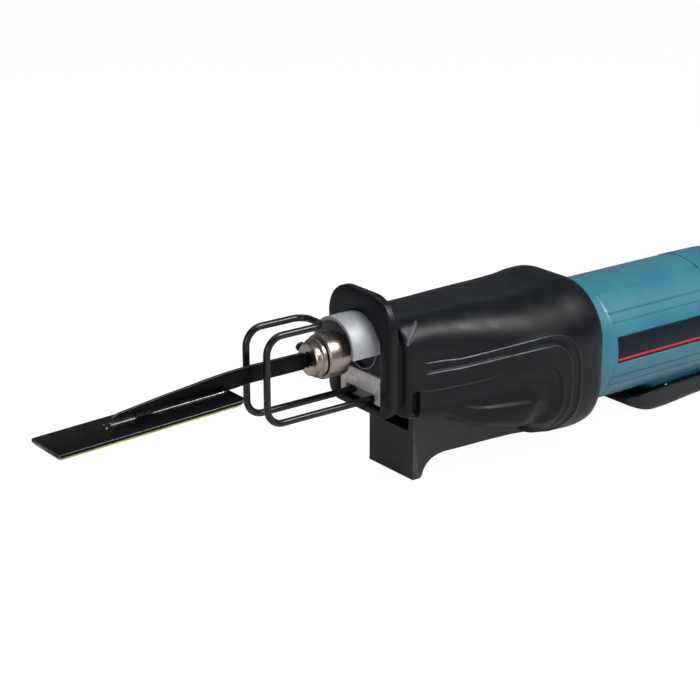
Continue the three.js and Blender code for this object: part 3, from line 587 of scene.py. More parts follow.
# The bore behind the flange, with the same columns as BOOT.
BOOT_BORE = [
    (0.0, 18.7, 20.7, -31.3, 18.6, 1.2), (0.12, 18.4, 20.4, -31.0, 18.3, 0.9),
    (0.45, 18.15, 20.15, -30.75, 18.1, 0.7), (4.35, 18.1, 20.1, -30.7, 18.05, 0.6),
    (4.36, 18.1, 11, -30.75, 1.2, 0.6), (12.6, 18.1, 11, -30.75, 1.2, 0.6)]
BOOT_INNER_X = [12.7, 16, 24, 31, 38, 45, 52, 60, 70, 80, 92, 99, 106, 116, 124, 131, 135.9]
BOOT_WALL = 4.0             # above and below, and at the sides of the rear part
BOOT_FRONT_SIDE_WALL = 4.3
BOOT_REAR_X = 100           # where the side wall changes
BOOT_MOTOR_BORE = 36.35     # radius of the round opening at the rear

# Two ribs on each flank and the rim of the recess below them, as (x, z).
RIB_UP = spline([
    (22.7, -6.1), (33.3, -6.7), (44, -7.2), (57, -6.2), (70.2, -4.9), (84.2, -3.9),
    (97, -3.4), (105.7, -4.2), (112.7, -7.0), (117.8, -12.6), (120.8, -21.5), (121.6, -32),
    (121.2, -43), (119.6, -53), (116.5, -60), (112.5, -65.5)])
RIB_LOW = spline([
    (23.4, -12.3), (33, -12.6), (44.2, -12.6), (57, -11.6), (70.1, -10.3), (83.5, -9.2),
    (96, -8.8), (104.5, -9.8), (110, -13.6), (113.6, -20.5), (114.8, -30), (114.6, -41),
    (112.8, -51), (109.5, -58.5), (105.8, -63.5)])
RIM_POINTS = np.array([
    (20.2, -21.6), (25.9, -22.4), (35, -22.8), (44.4, -22.6), (58.2, -21.8), (70.4, -19.6),
    (79, -18.3), (88, -17.6), (97, -18.6), (103.2, -21.8), (107, -27.6), (108.6, -35),
    (108.6, -43), (106.8, -50), (103, -55.5), (98, -58.5)])
RIM = spline(RIM_POINTS, 5)
RIM_TOP = RIM_POINTS[:12]   # the part where x still grows
RECESS = np.concatenate([RIM, [(92, -58), (80, -57), (60, -53), (45, -46), (31, -41.5),
                               (20.2, -39)]])
# x, then z, of the lower edge of the recess
RECESS_LOW = ([20, 31, 45, 60, 80, 92, 99, 109],
              [-36.9, -39.2, -43.6, -49.5, -52.5, -54.5, -57, -58])
DEEPEST = 3.6               # the relief never cuts deeper than this


def rib_relief(x, z):
    """Low swells under the two ribs and a shallow channel between them."""
    upper, lower = line_distance(x, z, RIB_UP), line_distance(x, z, RIB_LOW)
    swell = 0.35 * (np.exp(-(upper / 1.3) ** 2) + np.exp(-(lower / 1.3) ** 2))
    between = inside_outline(x, z, np.concatenate([RIB_UP, RIB_LOW[::-1]]))
    channel = 0.5 * ramp(0.3, 1.6, np.minimum(upper, lower)) * between
    return (swell - channel) * ramp(21.5, 24.0, x)


def recess_relief(x, z):
    """Stepped and scooped recess on the flank, with a swell along its foot."""
    from_rim = line_distance(x, z, RIM)
    rim_z = np.interp(x, RIM_TOP[:, 0], RIM_TOP[:, 1])
    low_z = np.interp(x, *RECESS_LOW)
    down = np.clip((rim_z - z) / np.maximum(rim_z - low_z, 1), 0, 1)
    step = 1.25 * ramp(0.0, 1.1, from_rim) * (1 - ramp(0.55, 0.98, down))
    scoop = (2.4 * ramp(0.5, 12, from_rim) * np.sin(np.pi * np.clip(down / 0.62, 0, 1))
             * ramp(30, 66, x) * (1 - 0.3 * ramp(98, 109, x)))
    rear_scoop = (2.2 * ramp(88, 98, x) * ramp(0.5, 7, from_rim)
                  * np.clip((down - 0.35) / 0.3, 0, 1) * (1 - ramp(0.9, 1.0, down)))
    depth = np.minimum(step + scoop + rear_scoop, DEEPEST)
    foot = (1.9 * np.sin(np.pi * np.clip((down - 0.56) / 0.66, 0, 1))
            * window(x, 38, 58, 84, 93) * (z < rim_z))
    return foot - np.where(inside_outline(x, z, RECESS), depth, 0)


def boot_relief(x, z):
    """Height of what stands on the boot's flanks, negative where it is let in."""
    notch = 3.4 * window(x, 14.0, 14.5, 19.0, 19.5) * window(z, -36.4, -35.6, -21.6, -20.9)
    # a step in front of a line that leans back as it rises
    ahead = (12.6 + (z - 5.4) * 1.226 - x) * 0.632
    step = 0.9 * ramp(-0.5, 0.5, ahead) * ramp(3.0, 5.2, z) * window(x, 11.0, 12.2, 24, 27)
    return np.maximum(rib_relief(x, z) + recess_relief(x, z) - notch - step, -DEEPEST)


def flank_weight(normal_y, z):
    """Share of the relief that applies, by how far the skin faces sideways."""
    facing = np.abs(normal_y)
    weight = ramp(0.35, 0.8, facing)
    return np.where(z < -30, np.maximum(weight, ramp(0.15, 0.5, facing)), weight)


def grid_normals(points):
    """Outward normals of a grid of closed rings."""
    along = np.gradient(points, axis=0)
    around = np.roll(points, -1, axis=1) - np.roll(points, 1, axis=1)
    normals = np.cross(along, around)
    normals /= np.linalg.norm(normals, axis=2)[..., None] + 1e-12
    flip = np.sign(((points - points.mean(1, keepdims=True)) * normals).sum(2))
    flip[flip == 0] = 1
    return normals * flip[..., None]


def mark_crest_highlights(piece):
    """Stores where a painted highlight runs along the ledge, the front step and the recess rim."""
    flat = np.empty(len(piece.data.vertices) * 3)
    piece.data.vertices.foreach_get("co", flat)
    x, y, z = (flat.reshape(-1, 3) / MM - (FLANGE_X, 0, 0)).T
    ledge = line_distance(x, z, [(14.8, -36.0), (20, -37.4), (31, -39.0), (40, -41.0)])
    front = line_distance(x, z, [(12.6, 5.4), (18, 9.8), (24, 14.7)])
    rim = line_distance(x, z, RIM)
    mark = 0.7 * np.exp(-(ledge / 0.5) ** 2) * (1 - ramp(34, 42, x))
    mark += 0.75 * np.exp(-(front / 0.45) ** 2)
    mark += 0.3 * np.exp(-(rim / 0.5) ** 2) * window(x, 20, 24, 56, 74)
    mark *= np.abs(y) > 18
    attribute = piece.data.attributes.new("crest", "FLOAT", "POINT")
    attribute.data.foreach_set("value", np.clip(mark, 0, 1))


def boot():
    xs = stations(
        [0, 0.1, 0.25, 0.4, 0.7, 1.2, 2.2, 3.4, 4.4, 4.7, 5.0, 5.2, 5.35, 5.5, 5.6, 5.7, 5.8,
         5.9, 6.0, 6.15, 6.35, 6.6],
        np.arange(7, 13.8, 0.4), np.arange(13.8, 19.9, 0.25), np.arange(20, 100, 0.75),
        np.arange(100, 124, 0.45), np.arange(124, 139, 0.75),
        [139.2, 139.6, 139.9, 140.2, 140.4, 140.6, 140.8, 140.92, 141])
    skin = np.array([section(x, *row, BOOT_COUNTS) for x, row in zip(xs, rows_at(BOOT, xs))])
    normals = grid_normals(skin)
    x, z = skin[..., 0], skin[..., 2]
    weight = flank_weight(normals[..., 1], z) * ramp(11.5, 13.5, x)
    skin = skin + normals * (boot_relief(x, z) * weight)[..., None]

    inner = list(BOOT_BORE)
    for x, row in zip(BOOT_INNER_X, rows_at(BOOT, BOOT_INNER_X)):
        half, top, low, top_round, low_round = row
        wall = BOOT_FRONT_SIDE_WALL if x < BOOT_REAR_X else BOOT_WALL
        inner.append((x, half - wall, top - BOOT_WALL, low + BOOT_WALL,
                      max(top_round - wall, 2), max(low_round - wall, 2)))
    bore = BOOT_MOTOR_BORE
    for x in (136.0, 140.6):
        inner.append((x, bore, MOTOR_Z + bore, MOTOR_Z - bore, bore - 0.01, bore - 0.01))
    inner.append((141.0, bore + 0.35, MOTOR_Z + bore + 0.35, MOTOR_Z - bore - 0.2,
                  bore, bore - 0.1))
    inner = np.array([section(*row, BOOT_COUNTS) for row in inner])
    piece = ring_solid("boot_skin", np.concatenate([skin[::-1], inner]), rubber, closed=True)
    mark_crest_highlights(piece)
    place(piece, "rubber_boot", sharp=42)


def boot_half_width(x, z):
    half, top, low, top_round, low_round = rows_at(BOOT, [x])[0]
    if z > top - top_round:
        return half - top_round + math.sqrt(max(top_round ** 2 - (z - top + top_round) ** 2, 0))
    if z < low + low_round:
        return half - low_round + math.sqrt(max(low_round ** 2 - (low + low_round - z) ** 2, 0))
    return half


def boot_point(x, z, side):
    """Point and outward normal on the boot's flank."""
    reach = 0.2
    slope_x = boot_half_width(x + reach, z) - boot_half_width(x - reach, z)
    slope_z = boot_half_width(x, z + reach) - boot_half_width(x, z - reach)
    normal = np.array([-slope_x / (2 * reach), 1.0, -slope_z / (2 * reach)])
    normal /= np.linalg.norm(normal)
    height = boot_relief(np.array([x]), np.array([z]))[0] * flank_weight(normal[1], z)
    point = np.array([x, boot_half_width(x, z), z]) + normal * height
    return point * [1, side, 1], normal * [1, side, 1]


def rib(name, line, side):
    """Thin raised cord along a rib line, slimmer at both ends."""
    path = []
    for x, z in spline(line[::2], 2):
        if x > 22.6:
            point, normal = boot_point(x, z, side)
            path.append(point - normal * 0.08)
    last = len(path) - 1
    radii = [0.36 * min(1, 0.35 + 0.65 * (k / 3)) * (1 - 0.6 * ramp(0.5, 1.0, k / last))
             for k in range(last + 1)]
    # the cord takes the rib material, whose light colour is a painted highlight
    place(tube(name, path, radii, rib_highlight_rubber, 12), sharp=60)


boot()
for side, tag in SIDES:
    rib("boot_rib_upper_" + tag, RIB_UP, side)
    rib("boot_rib_lower_" + tag, RIB_LOW, side)

# ------------------------------------------------------------------ front end metalwork
HOOD_FRONT, HOOD_BACK = -16.6, 3.9
HOOD_R, HOOD_INNER_R = 17.8, 15.9
HOOD_Z = 2.0                # centre of the arch
HOOD_FOOT = 0.5             # bottom of its two short legs
HOOD_EDGE = 0.55
PLATE_BACK = 3.95           # rear face of the bracket and the seal plate
SEAL_HALF = 15.4
PLUNGER_R = 6.0


def hood():
    """Half-round strip section carried round the arch and down its legs."""
    shoulder = HOOD_R - 1.3
    strip = np.array(fillet(
        [(HOOD_FRONT, HOOD_INNER_R), (HOOD_BACK, HOOD_INNER_R), (HOOD_BACK, shoulder),
         (HOOD_BACK - 4.0, shoulder), (HOOD_BACK - 4.1, HOOD_R), (HOOD_FRONT, HOOD_R)],
        [HOOD_EDGE * 0.7, 0.15, 0.1, 0.1, 0.3, HOOD_EDGE], 5))
    angles = np.concatenate([[0, 0], np.linspace(0, 180, 91), [180, 180]])
    leg = [HOOD_FOOT, HOOD_FOOT + 0.15]
    bases = leg + [HOOD_Z] * 91 + leg[::-1]
    rings = []
    for angle, base in zip(np.radians(angles), bases):
        pinch = 0.12 if base == HOOD_FOOT else 0.0
        outside = strip[:, 1] > (HOOD_R + HOOD_INNER_R) / 2
        radius = strip[:, 1] + np.where(outside, -pinch, pinch)
        rings.append(np.stack([strip[:, 0], radius * np.cos(angle),
                               base + radius * np.sin(angle)], -1))
    place(ring_solid("hood_arch", rings, blasted_cast), "nose_hood")


def hood_lug(side, tag):
    outline = fillet([(16.3, 0.55), (18.0, 0.55), (18.0, 5.6), (16.2, 8.6), (15.6, 8.6)],
                     [0, 0.4, 0.5, 0.4, 0], 4)
    lug = prism("hood_lug_" + tag, outline, 0.0, HOOD_BACK, "X", bracket_metal)
    if side < 0:
        for vertex in lug.data.vertices:
            vertex.co.y = -vertex.co.y
        lug.data.flip_normals()
    place(lug)


def bracket():
    """Plate with two feet, open below between them."""
    outline = fillet([(-17.2, -13), (-17.2, -28.8), (-12.4, -28.8), (-12.4, -23.4),
                      (12.4, -23.4), (12.4, -28.8), (17.2, -28.8), (17.2, -13)],
                     [1.4, 0.8, 0.6, 1.6, 1.6, 0.6, 0.8, 1.4], 5)
    gate = prism("bracket_gate", outline, 1.0, PLATE_BACK, "X", bracket_metal)
    place(bevel(gate, 0.35), "shoe_bracket")


def seal():
    """Plate behind the hood, with a metal ring and a wiper round the plunger."""
    outline = fillet([(-SEAL_HALF, -12.6), (SEAL_HALF, -12.6), (SEAL_HALF, HOOD_Z)]
                     + arc(0, HOOD_Z, SEAL_HALF, 6, 174, 40) + [(-SEAL_HALF, HOOD_Z)],
                     [0.8, 0.8, 0] + [0] * 41 + [0], 4)
    plate = prism("seal_plate", outline, 2.5, PLATE_BACK, "X", rubber)
    boolean(plate, [rod_cutter(11.2, 2.0, 3.3, rubber, 72),
                    rod_cutter(PLUNGER_R + 0.35, 1, 5, rubber, 60)])
    place(plate, "dust_seal")
    ring = turned("seal_ring", fillet(rect(1.9, 3.1, 11.6, 12.7), 0.3, 4), dull_cast, ring=True)
    place(ring)
    profile = fillet([(3.35, 6.4), (3.85, 6.4), (3.85, 11.0), (3.35, 11.0), (2.6, 8.2)], 0.15, 3)
    place(turned("seal_wiper", profile, rubber, 72, ring=True))


hood()
for side, tag in SIDES:
    hood_lug(side, tag)
bracket()
seal()

# ------------------------------------------------------------------ plunger and chuck
CHUCK_R = 7.5               # body inside the collar
COLLAR_BORE = CHUCK_R + 0.35
PIN_X = -31.0
PIN_TILT = math.radians(25)  # the locking pin's axis, from +Y towards +Z


def pin_piece(name, profile, material):
    """Turned piece on the locking pin's axis."""
    rings = revolve(profile, 48, "Y", (PIN_X, 0, 0))
    x, along, across = np.moveaxis(rings, -1, 0)
    cosine, sine = math.cos(PIN_TILT), math.sin(PIN_TILT)
    rings = np.stack([x, along * cosine - across * sine, along * sine + across * cosine], -1)
    return ring_solid(name, rings, material)


def chuck():
    profile = fillet(
        [(-33.2, 0.01), (-33.2, 8.2), (-32.5, 8.9), (-30.2, 8.9), (-29.7, 9.6), (-29.2, 10.5),
         (-27.6, 10.5), (-27.4, 10.3), (-27.3, CHUCK_R), (-13.35, CHUCK_R), (-13.35, 0.01)],
        [0, 0.35, 0.35, 0.3, 0.3, 0.3, 0.25, 0.2, 0.1, 0.4, 0], 4)
    nose = turned("chuck_nose", profile, nickel, 120)
    boolean(nose, [
        prism("cutter", rect(-1.35, 1.35, -4.4, 4.4), -34, -20, "X", nickel),
        pin_piece("cutter", [(0, 1.75), (9.2, 1.75)], nickel),
        pin_piece("cutter", [(8.7, 2.95), (14, 2.95)], nickel),
        rod_cutter(4.3, -17.8, -13, nickel, 48)])
    place(bevel(nose, 0.18, 2, 40), "chuck_body", "plunger_group", sharp=40)

    profile = fillet([(-26.6, COLLAR_BORE), (-26.6, 10.9), (-25.9, 11.9), (-14.1, 11.9),
                      (-13.5, 11.3), (-13.5, COLLAR_BORE)],
                     [0.2, 0.35, 0.35, 0.4, 0.3, 0.2], 5)
    place(turned("chuck_collar", profile, nickel, 128, ring=True),
          "chuck_sleeve", "sleeve")


def lock_pin():
    profile = fillet([(1.4, 0.01), (1.4, 1.5), (1.5, 1.6), (9.2, 1.6), (9.2, 2.6), (10.7, 2.6),
                      (11.5, 1.8), (11.7, 0.01)], [0, 0.05, 0.05, 0.05, 0.25, 0.5, 0.5, 0], 4)
    place(pin_piece("lock_pin_knob", profile, coated_wire),
          "blade_lock_pin", "lock_pin")


def plunger():
    profile = fillet([(-17.5, 0.01), (-17.5, 3.7), (-17.2, 4.0), (-13, 4.0), (-13, 5.7),
                      (-12.7, PLUNGER_R), (79, PLUNGER_R), (79, 0.01)],
                     [0, 0.2, 0.2, 0.1, 0.2, 0.2, 0.2, 0], 3)
    place(turned("plunger_rod", profile, steel, 72), "plunger", "plunger_group")


chuck()
lock_pin()
plunger()

# ------------------------------------------------------------------ wire shoe
WIRE_R = 1.85
WIRE_HALF = 9.2             # from the mid-plane to each leg
WIRE_FRONT, WIRE_BACK, WIRE_END = -64.9, -29.0, 20.0
WIRE_LOW, WIRE_TOP = -26.8, 20.3
FRONT_BEND, BACK_BEND = 9.5, 6.5


def bent_path(corners, radii, step=1.6, bend_steps=14):
    """Straight runs with a quarter-round bend at each inner corner."""
    def toward(start, end, length):
        return start + (end - start) / np.linalg.norm(end - start) * length

    def run(start, end):
        count = int(np.linalg.norm(end - start) / step)
        return [start + (end - start) * i / count for i in range(count)]

    corners = np.array(corners, float)
    points, start = [], corners[0]
    for before, corner, after, radius in zip(corners, corners[1:], corners[2:], radii):
        entry, leave = toward(corner, before, radius), toward(corner, after, radius)
        points += run(start, entry)
        for i in range(bend_steps):
            turn = math.pi / 2 * i / bend_steps
            points.append(corner + (entry - corner) * (1 - math.sin(turn))
                          + (leave - corner) * (1 - math.cos(turn)))
        start = leave
    return np.array(points + run(start, corners[-1]) + [corners[-1]])


def wire_shoe():
    """Two legs run forward, rise in front, come back and meet behind."""
    near = [(WIRE_END, -WIRE_HALF, WIRE_LOW), (WIRE_FRONT, -WIRE_HALF, WIRE_LOW),
            (WIRE_FRONT, -WIRE_HALF, WIRE_TOP), (WIRE_BACK, -WIRE_HALF, WIRE_TOP)]
    corners = near + [(x, -y, z) for x, y, z in reversed(near)]
    bends = [FRONT_BEND, FRONT_BEND, BACK_BEND]
    path = bent_path(corners, bends + bends[::-1])
    # an extra ring close to each end, for the chamfer
    path = np.concatenate([path[:1], path[:1] + (path[1] - path[0]) * 0.12, path[1:-1],
                           path[-1:] + (path[-2] - path[-1]) * 0.12, path[-1:]])
    radii = np.full(len(path), WIRE_R)
    radii[[0, -1]] = 1.5
    place(tube("shoe_wire", path, radii, coated_wire, 32), "wire_shoe", "shoe",
          sharp=50)


wire_shoe()


# ------------------------------------------------------------------ blade
def foot_top(x):
    """Height of the blade foot's sloping top face."""
    return -5.6 + (x + 79) * 0.0372


BAR_OUTLINE = [
    (-22.1, 3.7), (-34.5, 3.7), (-36.6, 4.6), (-70, 4.6), (-84, 3.9), (-94, 3.0), (-104, 1.8),
    (-120, 0.1), (-138, -2.3), (-146.0, -3.3), (-149.2, -4.6), (-149.7, foot_top(-149.7) + 0.1),
    (-80, foot_top(-80) + 0.1), (-70, -4.7), (-36.6, -4.7), (-34.5, -3.7), (-22.1, -3.7)]
BAR_RADII = [0.8, 2.5, 2.5, 30, 30, 20, 20, 30, 20, 4, 1.5, 0, 3, 10, 2.5, 2.5, 0.8]
FOOT_OUTLINE = (arc(-86.6, 5.7, 5, 0, 90, 10) + arc(-186.4, 9.4, 1.3, 90, 180, 10)
                + arc(-186.4, -15.6, 1.3, 180, 270, 10) + arc(-86.6, -11.9, 5, 270, 360, 10))
FOOT_CENTRE = (-136, -3.1)
# name, start x, end x, y, radius, ripple seed
WELDS = (("weld_a", -151.2, -136.5, -1.05, 0.85, 3), ("weld_b", -128, -84, -0.95, 0.42, 5),
         ("weld_c", -150.6, -130, 1.05, 0.85, 6), ("weld_d", -120, -86, 0.95, 0.42, 9))
SPATTER = ((-153.6, -2.4, 0.55), (-154.6, -3.4, 0.32), (-152.6, 2.2, 0.4))  # x, y, radius


def paint_edge_highlights(piece):
    """Painted highlight: lighter steel laid on the narrow chamfers."""
    piece.data.materials.append(edge_highlight_steel)
    for face in piece.data.polygons:
        if sorted(np.abs(np.array(face.normal)))[1] > 0.25 and face.area < 60 * MM * MM:
            face.material_index = 1


def blade_bar():
    outline = fillet(BAR_OUTLINE, BAR_RADII, 6)
    bar = prism("blade_strip", outline, -0.85, 0.85, "Y", blade_steel)
    bevel(bar, 0.22, 2, 50)
    paint_edge_highlights(bar)
    place(bar, "blade_bar", "blade", sharp=40)


def sloping_plate(name, outline, low, high, material, edge):
    """Plate whose heights are counted from the foot's sloping top."""
    plate = bevel(prism(name, outline, low, high, "Z", material), edge, 3, 50)
    for vertex in plate.data.vertices:
        vertex.co.z += foot_top(vertex.co.x / MM - FLANGE_X) * MM
    return plate


def blade_foot():
    foot = sloping_plate("blade_foot", FOOT_OUTLINE, -1.8, 0.0, blade_steel, 0.3)
    paint_edge_highlights(foot)
    place(foot, "blade_plate", "blade", sharp=40)
    mid_x, mid_y = FOOT_CENTRE
    inset = [(mid_x + (x - mid_x) * 0.985, mid_y + (y - mid_y) * 0.95) for x, y in FOOT_OUTLINE]
    place(sloping_plate("grit_face", inset, -2.9, -1.85, grit, 0.2),
          "grit_layer", "blade", sharp=40)


def weld(name, start, end, y, radius, seed):
    """Rippled bead of metal along the foot of the bar."""
    rng = np.random.default_rng(seed)
    xs = np.linspace(start, end, 90)
    ripple = 1 + 0.16 * np.abs(np.sin((xs - start) * 2.6)) + 0.05 * rng.standard_normal(90)
    taper = np.minimum(ramp(0, 1.6, xs - start), ramp(0, 1.6, end - xs)) * 0.75 + 0.25
    cosine, sine = circle(26)
    rings = [np.stack([np.full(26, x), y + size * 0.9 * cosine,
                       foot_top(x) + 0.1 + size * 0.75 * sine], -1)
             for x, size in zip(xs, radius * ripple * taper)]
    place(ring_solid(name, rings, weld_metal), body="blade", sharp=60)


def spatter(name, x, y, radius):
    """Flattened drop of weld metal on the foot."""
    cosine, sine = circle(20)
    rings = []
    for tilt in np.linspace(-1.45, 1.45, 10):
        reach = radius * math.cos(tilt)
        height = foot_top(x) + radius * 0.7 * math.sin(tilt)
        rings.append(np.stack([x + reach * cosine, y + reach * sine, np.full(20, height)], -1))
    place(ring_solid(name, rings, weld_metal), body="blade", sharp=60)


blade_bar()
blade_foot()
for row in WELDS:
    weld(*row)
for k, row in enumerate(SPATTER):
    spatter("spatter_%d" % k, *row)

# ------------------------------------------------------------------ finger guard
# x and z of the underside, front to back, then of the top, back to front
GUARD_UNDER = [(22, -75.5), (27.6, -75.5), (28.8, -74.0), (29.8, -71.0), (32.0, -68.1),
               (35.2, -65.8), (39, -64.5), (43.8, -63.9), (53.5, -64.3), (78, -64.9),
               (93.2, -65.6), (102.5, -66.6)]
GUARD_TOP = [(102.5, -62.0), (98.0, -58.0), (92, -54.4), (80, -52.2), (60, -49.8),
             (45, -42.8), (31, -38.4), (22, -37.2)]
GUARD_RADII = [0.9, 1.4, 1.5, 5, 5, 5, 5, 5, 10, 10, 6, 1.2] + [0.8] + [0] * 6 + [0.6]
FRONT_SCREW_X, REAR_SCREW_X = 40, 78


def guard():
    outline = fillet(GUARD_UNDER + GUARD_TOP, GUARD_RADII, 5)
    shell = bevel(prism("guard_shell", outline, -19, 19, "Y", guard_plastic), 1.1, 4, 35)
    pocket = fillet([(26.3, -30), (26.3, -61.2), (28.5, -62.4), (90.8, -62.4), (90.8, -30)],
                    [0, 2.5, 2.5, 1.5, 0], 4)
    cutters = [prism("cutter", pocket, -16.6, 16.6, "Y", guard_plastic),
               block("cutter", (20, 27), (-15.2, 15.2), (-48.0, -30), guard_plastic)]
    # screw holes, then their wider seats: x, radius, top z, point count
    for x, radius, top, count in ((FRONT_SCREW_X, 2.4, -60, 32), (REAR_SCREW_X, 2.4, -60, 32),
                                  (FRONT_SCREW_X, 4.4, -63.7, 40),
                                  (REAR_SCREW_X, 4.4, -64.2, 40)):
        cutters.append(rod_cutter(radius, -70, top, guard_plastic, count, "Z", (x, 0, 0)))
    place(boolean(shell, cutters), "finger_guard", sharp=40)


def screw(name, origin, axis, head_r, head_h, shank_r, shank_l, replaces):
    """Domed head with a six-lobed socket, on a plain shank.

    The head's outer face is at the origin and the shank runs along the positive axis.
    """
    tip = head_h + shank_l
    profile = [(0, 0.01), (0, head_r * 0.72), (0.1 * head_h, head_r * 0.86),
               (0.35 * head_h, head_r), (head_h, head_r), (head_h, shank_r), (tip, shank_r),
               (tip + 0.5, shank_r * 0.75), (tip + 0.5, 0.01)]
    piece = turned(name, profile, zinc, 48, axis, origin)
    lobes = []
    for k in range(48):
        turn = 2 * math.pi * k / 48
        radius = (0.42 + 0.06 * math.cos(6 * turn)) * head_r
        lobes.append((radius * math.cos(turn), radius * math.sin(turn)))
    boolean(piece, [prism("cutter", lobes, -0.5, 0.55 * head_h, axis, zinc, origin)])
    place(piece, replaces, sharp=38)


guard()
for tag, x, top in (("front", FRONT_SCREW_X, -37.5), ("rear", REAR_SCREW_X, -44)):
    screw("screw_%s_guard" % tag, (x, 0, -62.2), "Z", head_r=4.0, head_h=2.4, shank_r=2.0,
          shank_l=top + 59.8 - 0.5, replaces="guard_screw_" + tag)

# ------------------------------------------------------------------ motor housing
BARREL_R = 36.0
BARREL_FRONT, BARREL_BACK = 128.35, 239.2
BARREL_BORE = 31.6
BELLY_HALF, BELLY_DEPTH = 19.0, 37.8   # box under the motor, from the motor axis
LABEL_BACK = 232.0
GROOVE_ANGLES = (39.0, 29.5, -22.0, -31.0)  # degrees above the side of the barrel


def around_motor(x, radius, angle, side=1, seam=-np.inf):
    """Grid of points round the motor axis. side -1 mirrors it to -Y.

    seam is the least distance kept from the mid-plane.
    """
    y = side * np.maximum(radius * np.cos(angle), seam)
    return np.stack(np.broadcast_arrays(x, y, MOTOR_Z + radius * np.sin(angle)), -1)


def add_belly(radius, angle, blend, rest, softness):
    """Blends a rounded box hanging below the motor into a round skin.

    Where blend is 0 the box shrinks to the radius rest.
    """
    power = 7.0
    across = np.abs(np.cos(angle)) / BELLY_HALF
    down = np.maximum(-np.sin(angle), 1e-6) / BELLY_DEPTH
    belly = rest + ((across ** power + down ** power) ** (-1 / power) - rest) * blend
    gap = radius - belly
    larger = 0.5 * (radius + belly + np.sqrt(gap * gap + softness * softness))
    below = ramp(0.2, 0.55, -np.sin(angle))
    return radius * (1 - below) + below * larger


def barrel_radius(x, angle):
    """Barrel with a raised panel and grooves on both sides and a label pocket on the left."""
    turn = np.degrees(angle) % 360
    on_left = np.abs(180 - turn) <= 90
    above = np.where(on_left, 180 - turn, np.where(turn > 180, turn - 360, turn))
    radius = BARREL_R + 0.38 * ramp(153.6, 155.4, x) * window(above, -42, -40.2, 60.6, 62.4)
    for groove in GROOVE_ANGLES:
        apart = np.abs(above - groove) * math.pi / 180 * BARREL_R
        radius = radius - 0.5 * np.exp(-(apart / 0.42) ** 2) * ramp(154.6, 155.8, x)
    pocket = (window(above, -8.2, -7.7, 16.7, 17.2)
              * window(x, 156.2, 156.8, LABEL_BACK, LABEL_BACK + 0.6) * on_left)
    return radius - 0.75 * pocket


def barrel():
    angle = np.radians(stations(
        np.linspace(0, 360, 361)[:-1], np.arange(236, 304, 0.5), np.arange(134, 220, 0.5),
        np.arange(-40, 45, 0.5) % 360))
    x = stations(
        [BARREL_FRONT, 128.6, 129.2, 133.2, 133.7, 134.0, 134.1, 134.6],
        np.arange(136, 153, 2.0), np.arange(153, 158, 0.35), np.arange(158, 186, 1.4),
        np.arange(186, 231, 3.0), np.arange(231, 234, 0.35),
        [235, 237, 238.3, 238.8, 239.05, BARREL_BACK])[:, None]
    radius = add_belly(barrel_radius(x, angle), angle, ramp(197, 208, x), rest=30, softness=1.2)
    flange = 1 - ramp(133.4, 134.2, x)
    radius = radius * (1 - flange) + flange * 37.4
    radius -= 0.5 * ramp(238.5, BARREL_BACK, x) ** 2 + 0.3 * (1 - ramp(BARREL_FRONT, 128.7, x))
    inner_x = np.array([BARREL_BACK, 239.0, 230, 200, 182, 170, 150, 134, 129, BARREL_FRONT])
    bore = np.full(len(inner_x), BARREL_BORE)
    bore[[0, -1]] += 0.3
    rings = np.concatenate([around_motor(x, radius, angle),
                            around_motor(inner_x[:, None], bore[:, None], angle)])
    place(ring_solid("barrel_shell", rings, teal, closed=True),
          "motor_housing", sharp=40)


def label():
    """Thin curved plate in the left pocket, with its front edge slanted."""
    angle = np.radians(np.linspace(-7.4, 16.4, 48))
    xs = np.concatenate([[156.85, 156.95, 157.15], np.linspace(158, 231, 60),
                         [231.7, 231.9, LABEL_BACK]])[:, None]
    slant = -0.9 * (angle - angle[0]) / (angle[-1] - angle[0])
    x = xs + np.where(xs < 190, slant, 0) * 0.6
    edge = np.minimum(ramp(0, 0.35, x - x[0]), ramp(0, 0.35, LABEL_BACK - x))
    edge = np.minimum(edge, ramp(0, 0.35, (angle - angle[0]) * BARREL_R))
    edge = np.minimum(edge, ramp(0, 0.35, (angle[-1] - angle) * BARREL_R))
    outer = around_motor(x, 36.02 + 0.16 * edge, angle, side=-1)
    inner = around_motor(x, 35.55, angle, side=-1)
    place(slab("label_plate", outer, inner, film), "name_plate", sharp=60)


barrel()
label()

# ------------------------------------------------------------------ rear cover
# x and radius of the outside, then of the inside
REAR = np.array([[239.5, 36.4], [262, 36.2], [284, 34.8], [304, 32.8], [330, 31.6],
                 [352, 31.0], [360, 30.2], [366, 28.6], [370, 26], [371.6, 23.6], [372, 22.0]])
REAR_IN = np.array([[239.5, 33.4], [262, 33.4], [284, 32], [304, 30.0], [330, 28.8],
                    [352, 28.2], [360, 27.4], [366, 25.0], [369.4, 20.0]])
REAR_FRONT, REAR_IN_BACK = REAR[0, 0], REAR_IN[-1, 0]
END_RADII = np.array([20.5, 15.0, 9.5, 5.0])   # rings that carry the end wall inward
COVER_SCREWS = [(305, -7.0), (305, -49.5), (352, MOTOR_Z + 16)]   # x, z
BRUSH_X = 259
VENT_X, VENT_PITCH, VENT_TILT = 319, 7, 0.35   # tilt in radians


def vent_outline(x):
    """Slanted rounded slot, as (x, z)."""
    cosine, sine = math.cos(VENT_TILT), math.sin(VENT_TILT)
    return [(x + p * cosine + q * sine, MOTOR_Z - p * sine + q * cosine)
            for p, q in fillet(rect(-1.25, 1.25, -10.5, 10.5), 1.2, 5)]


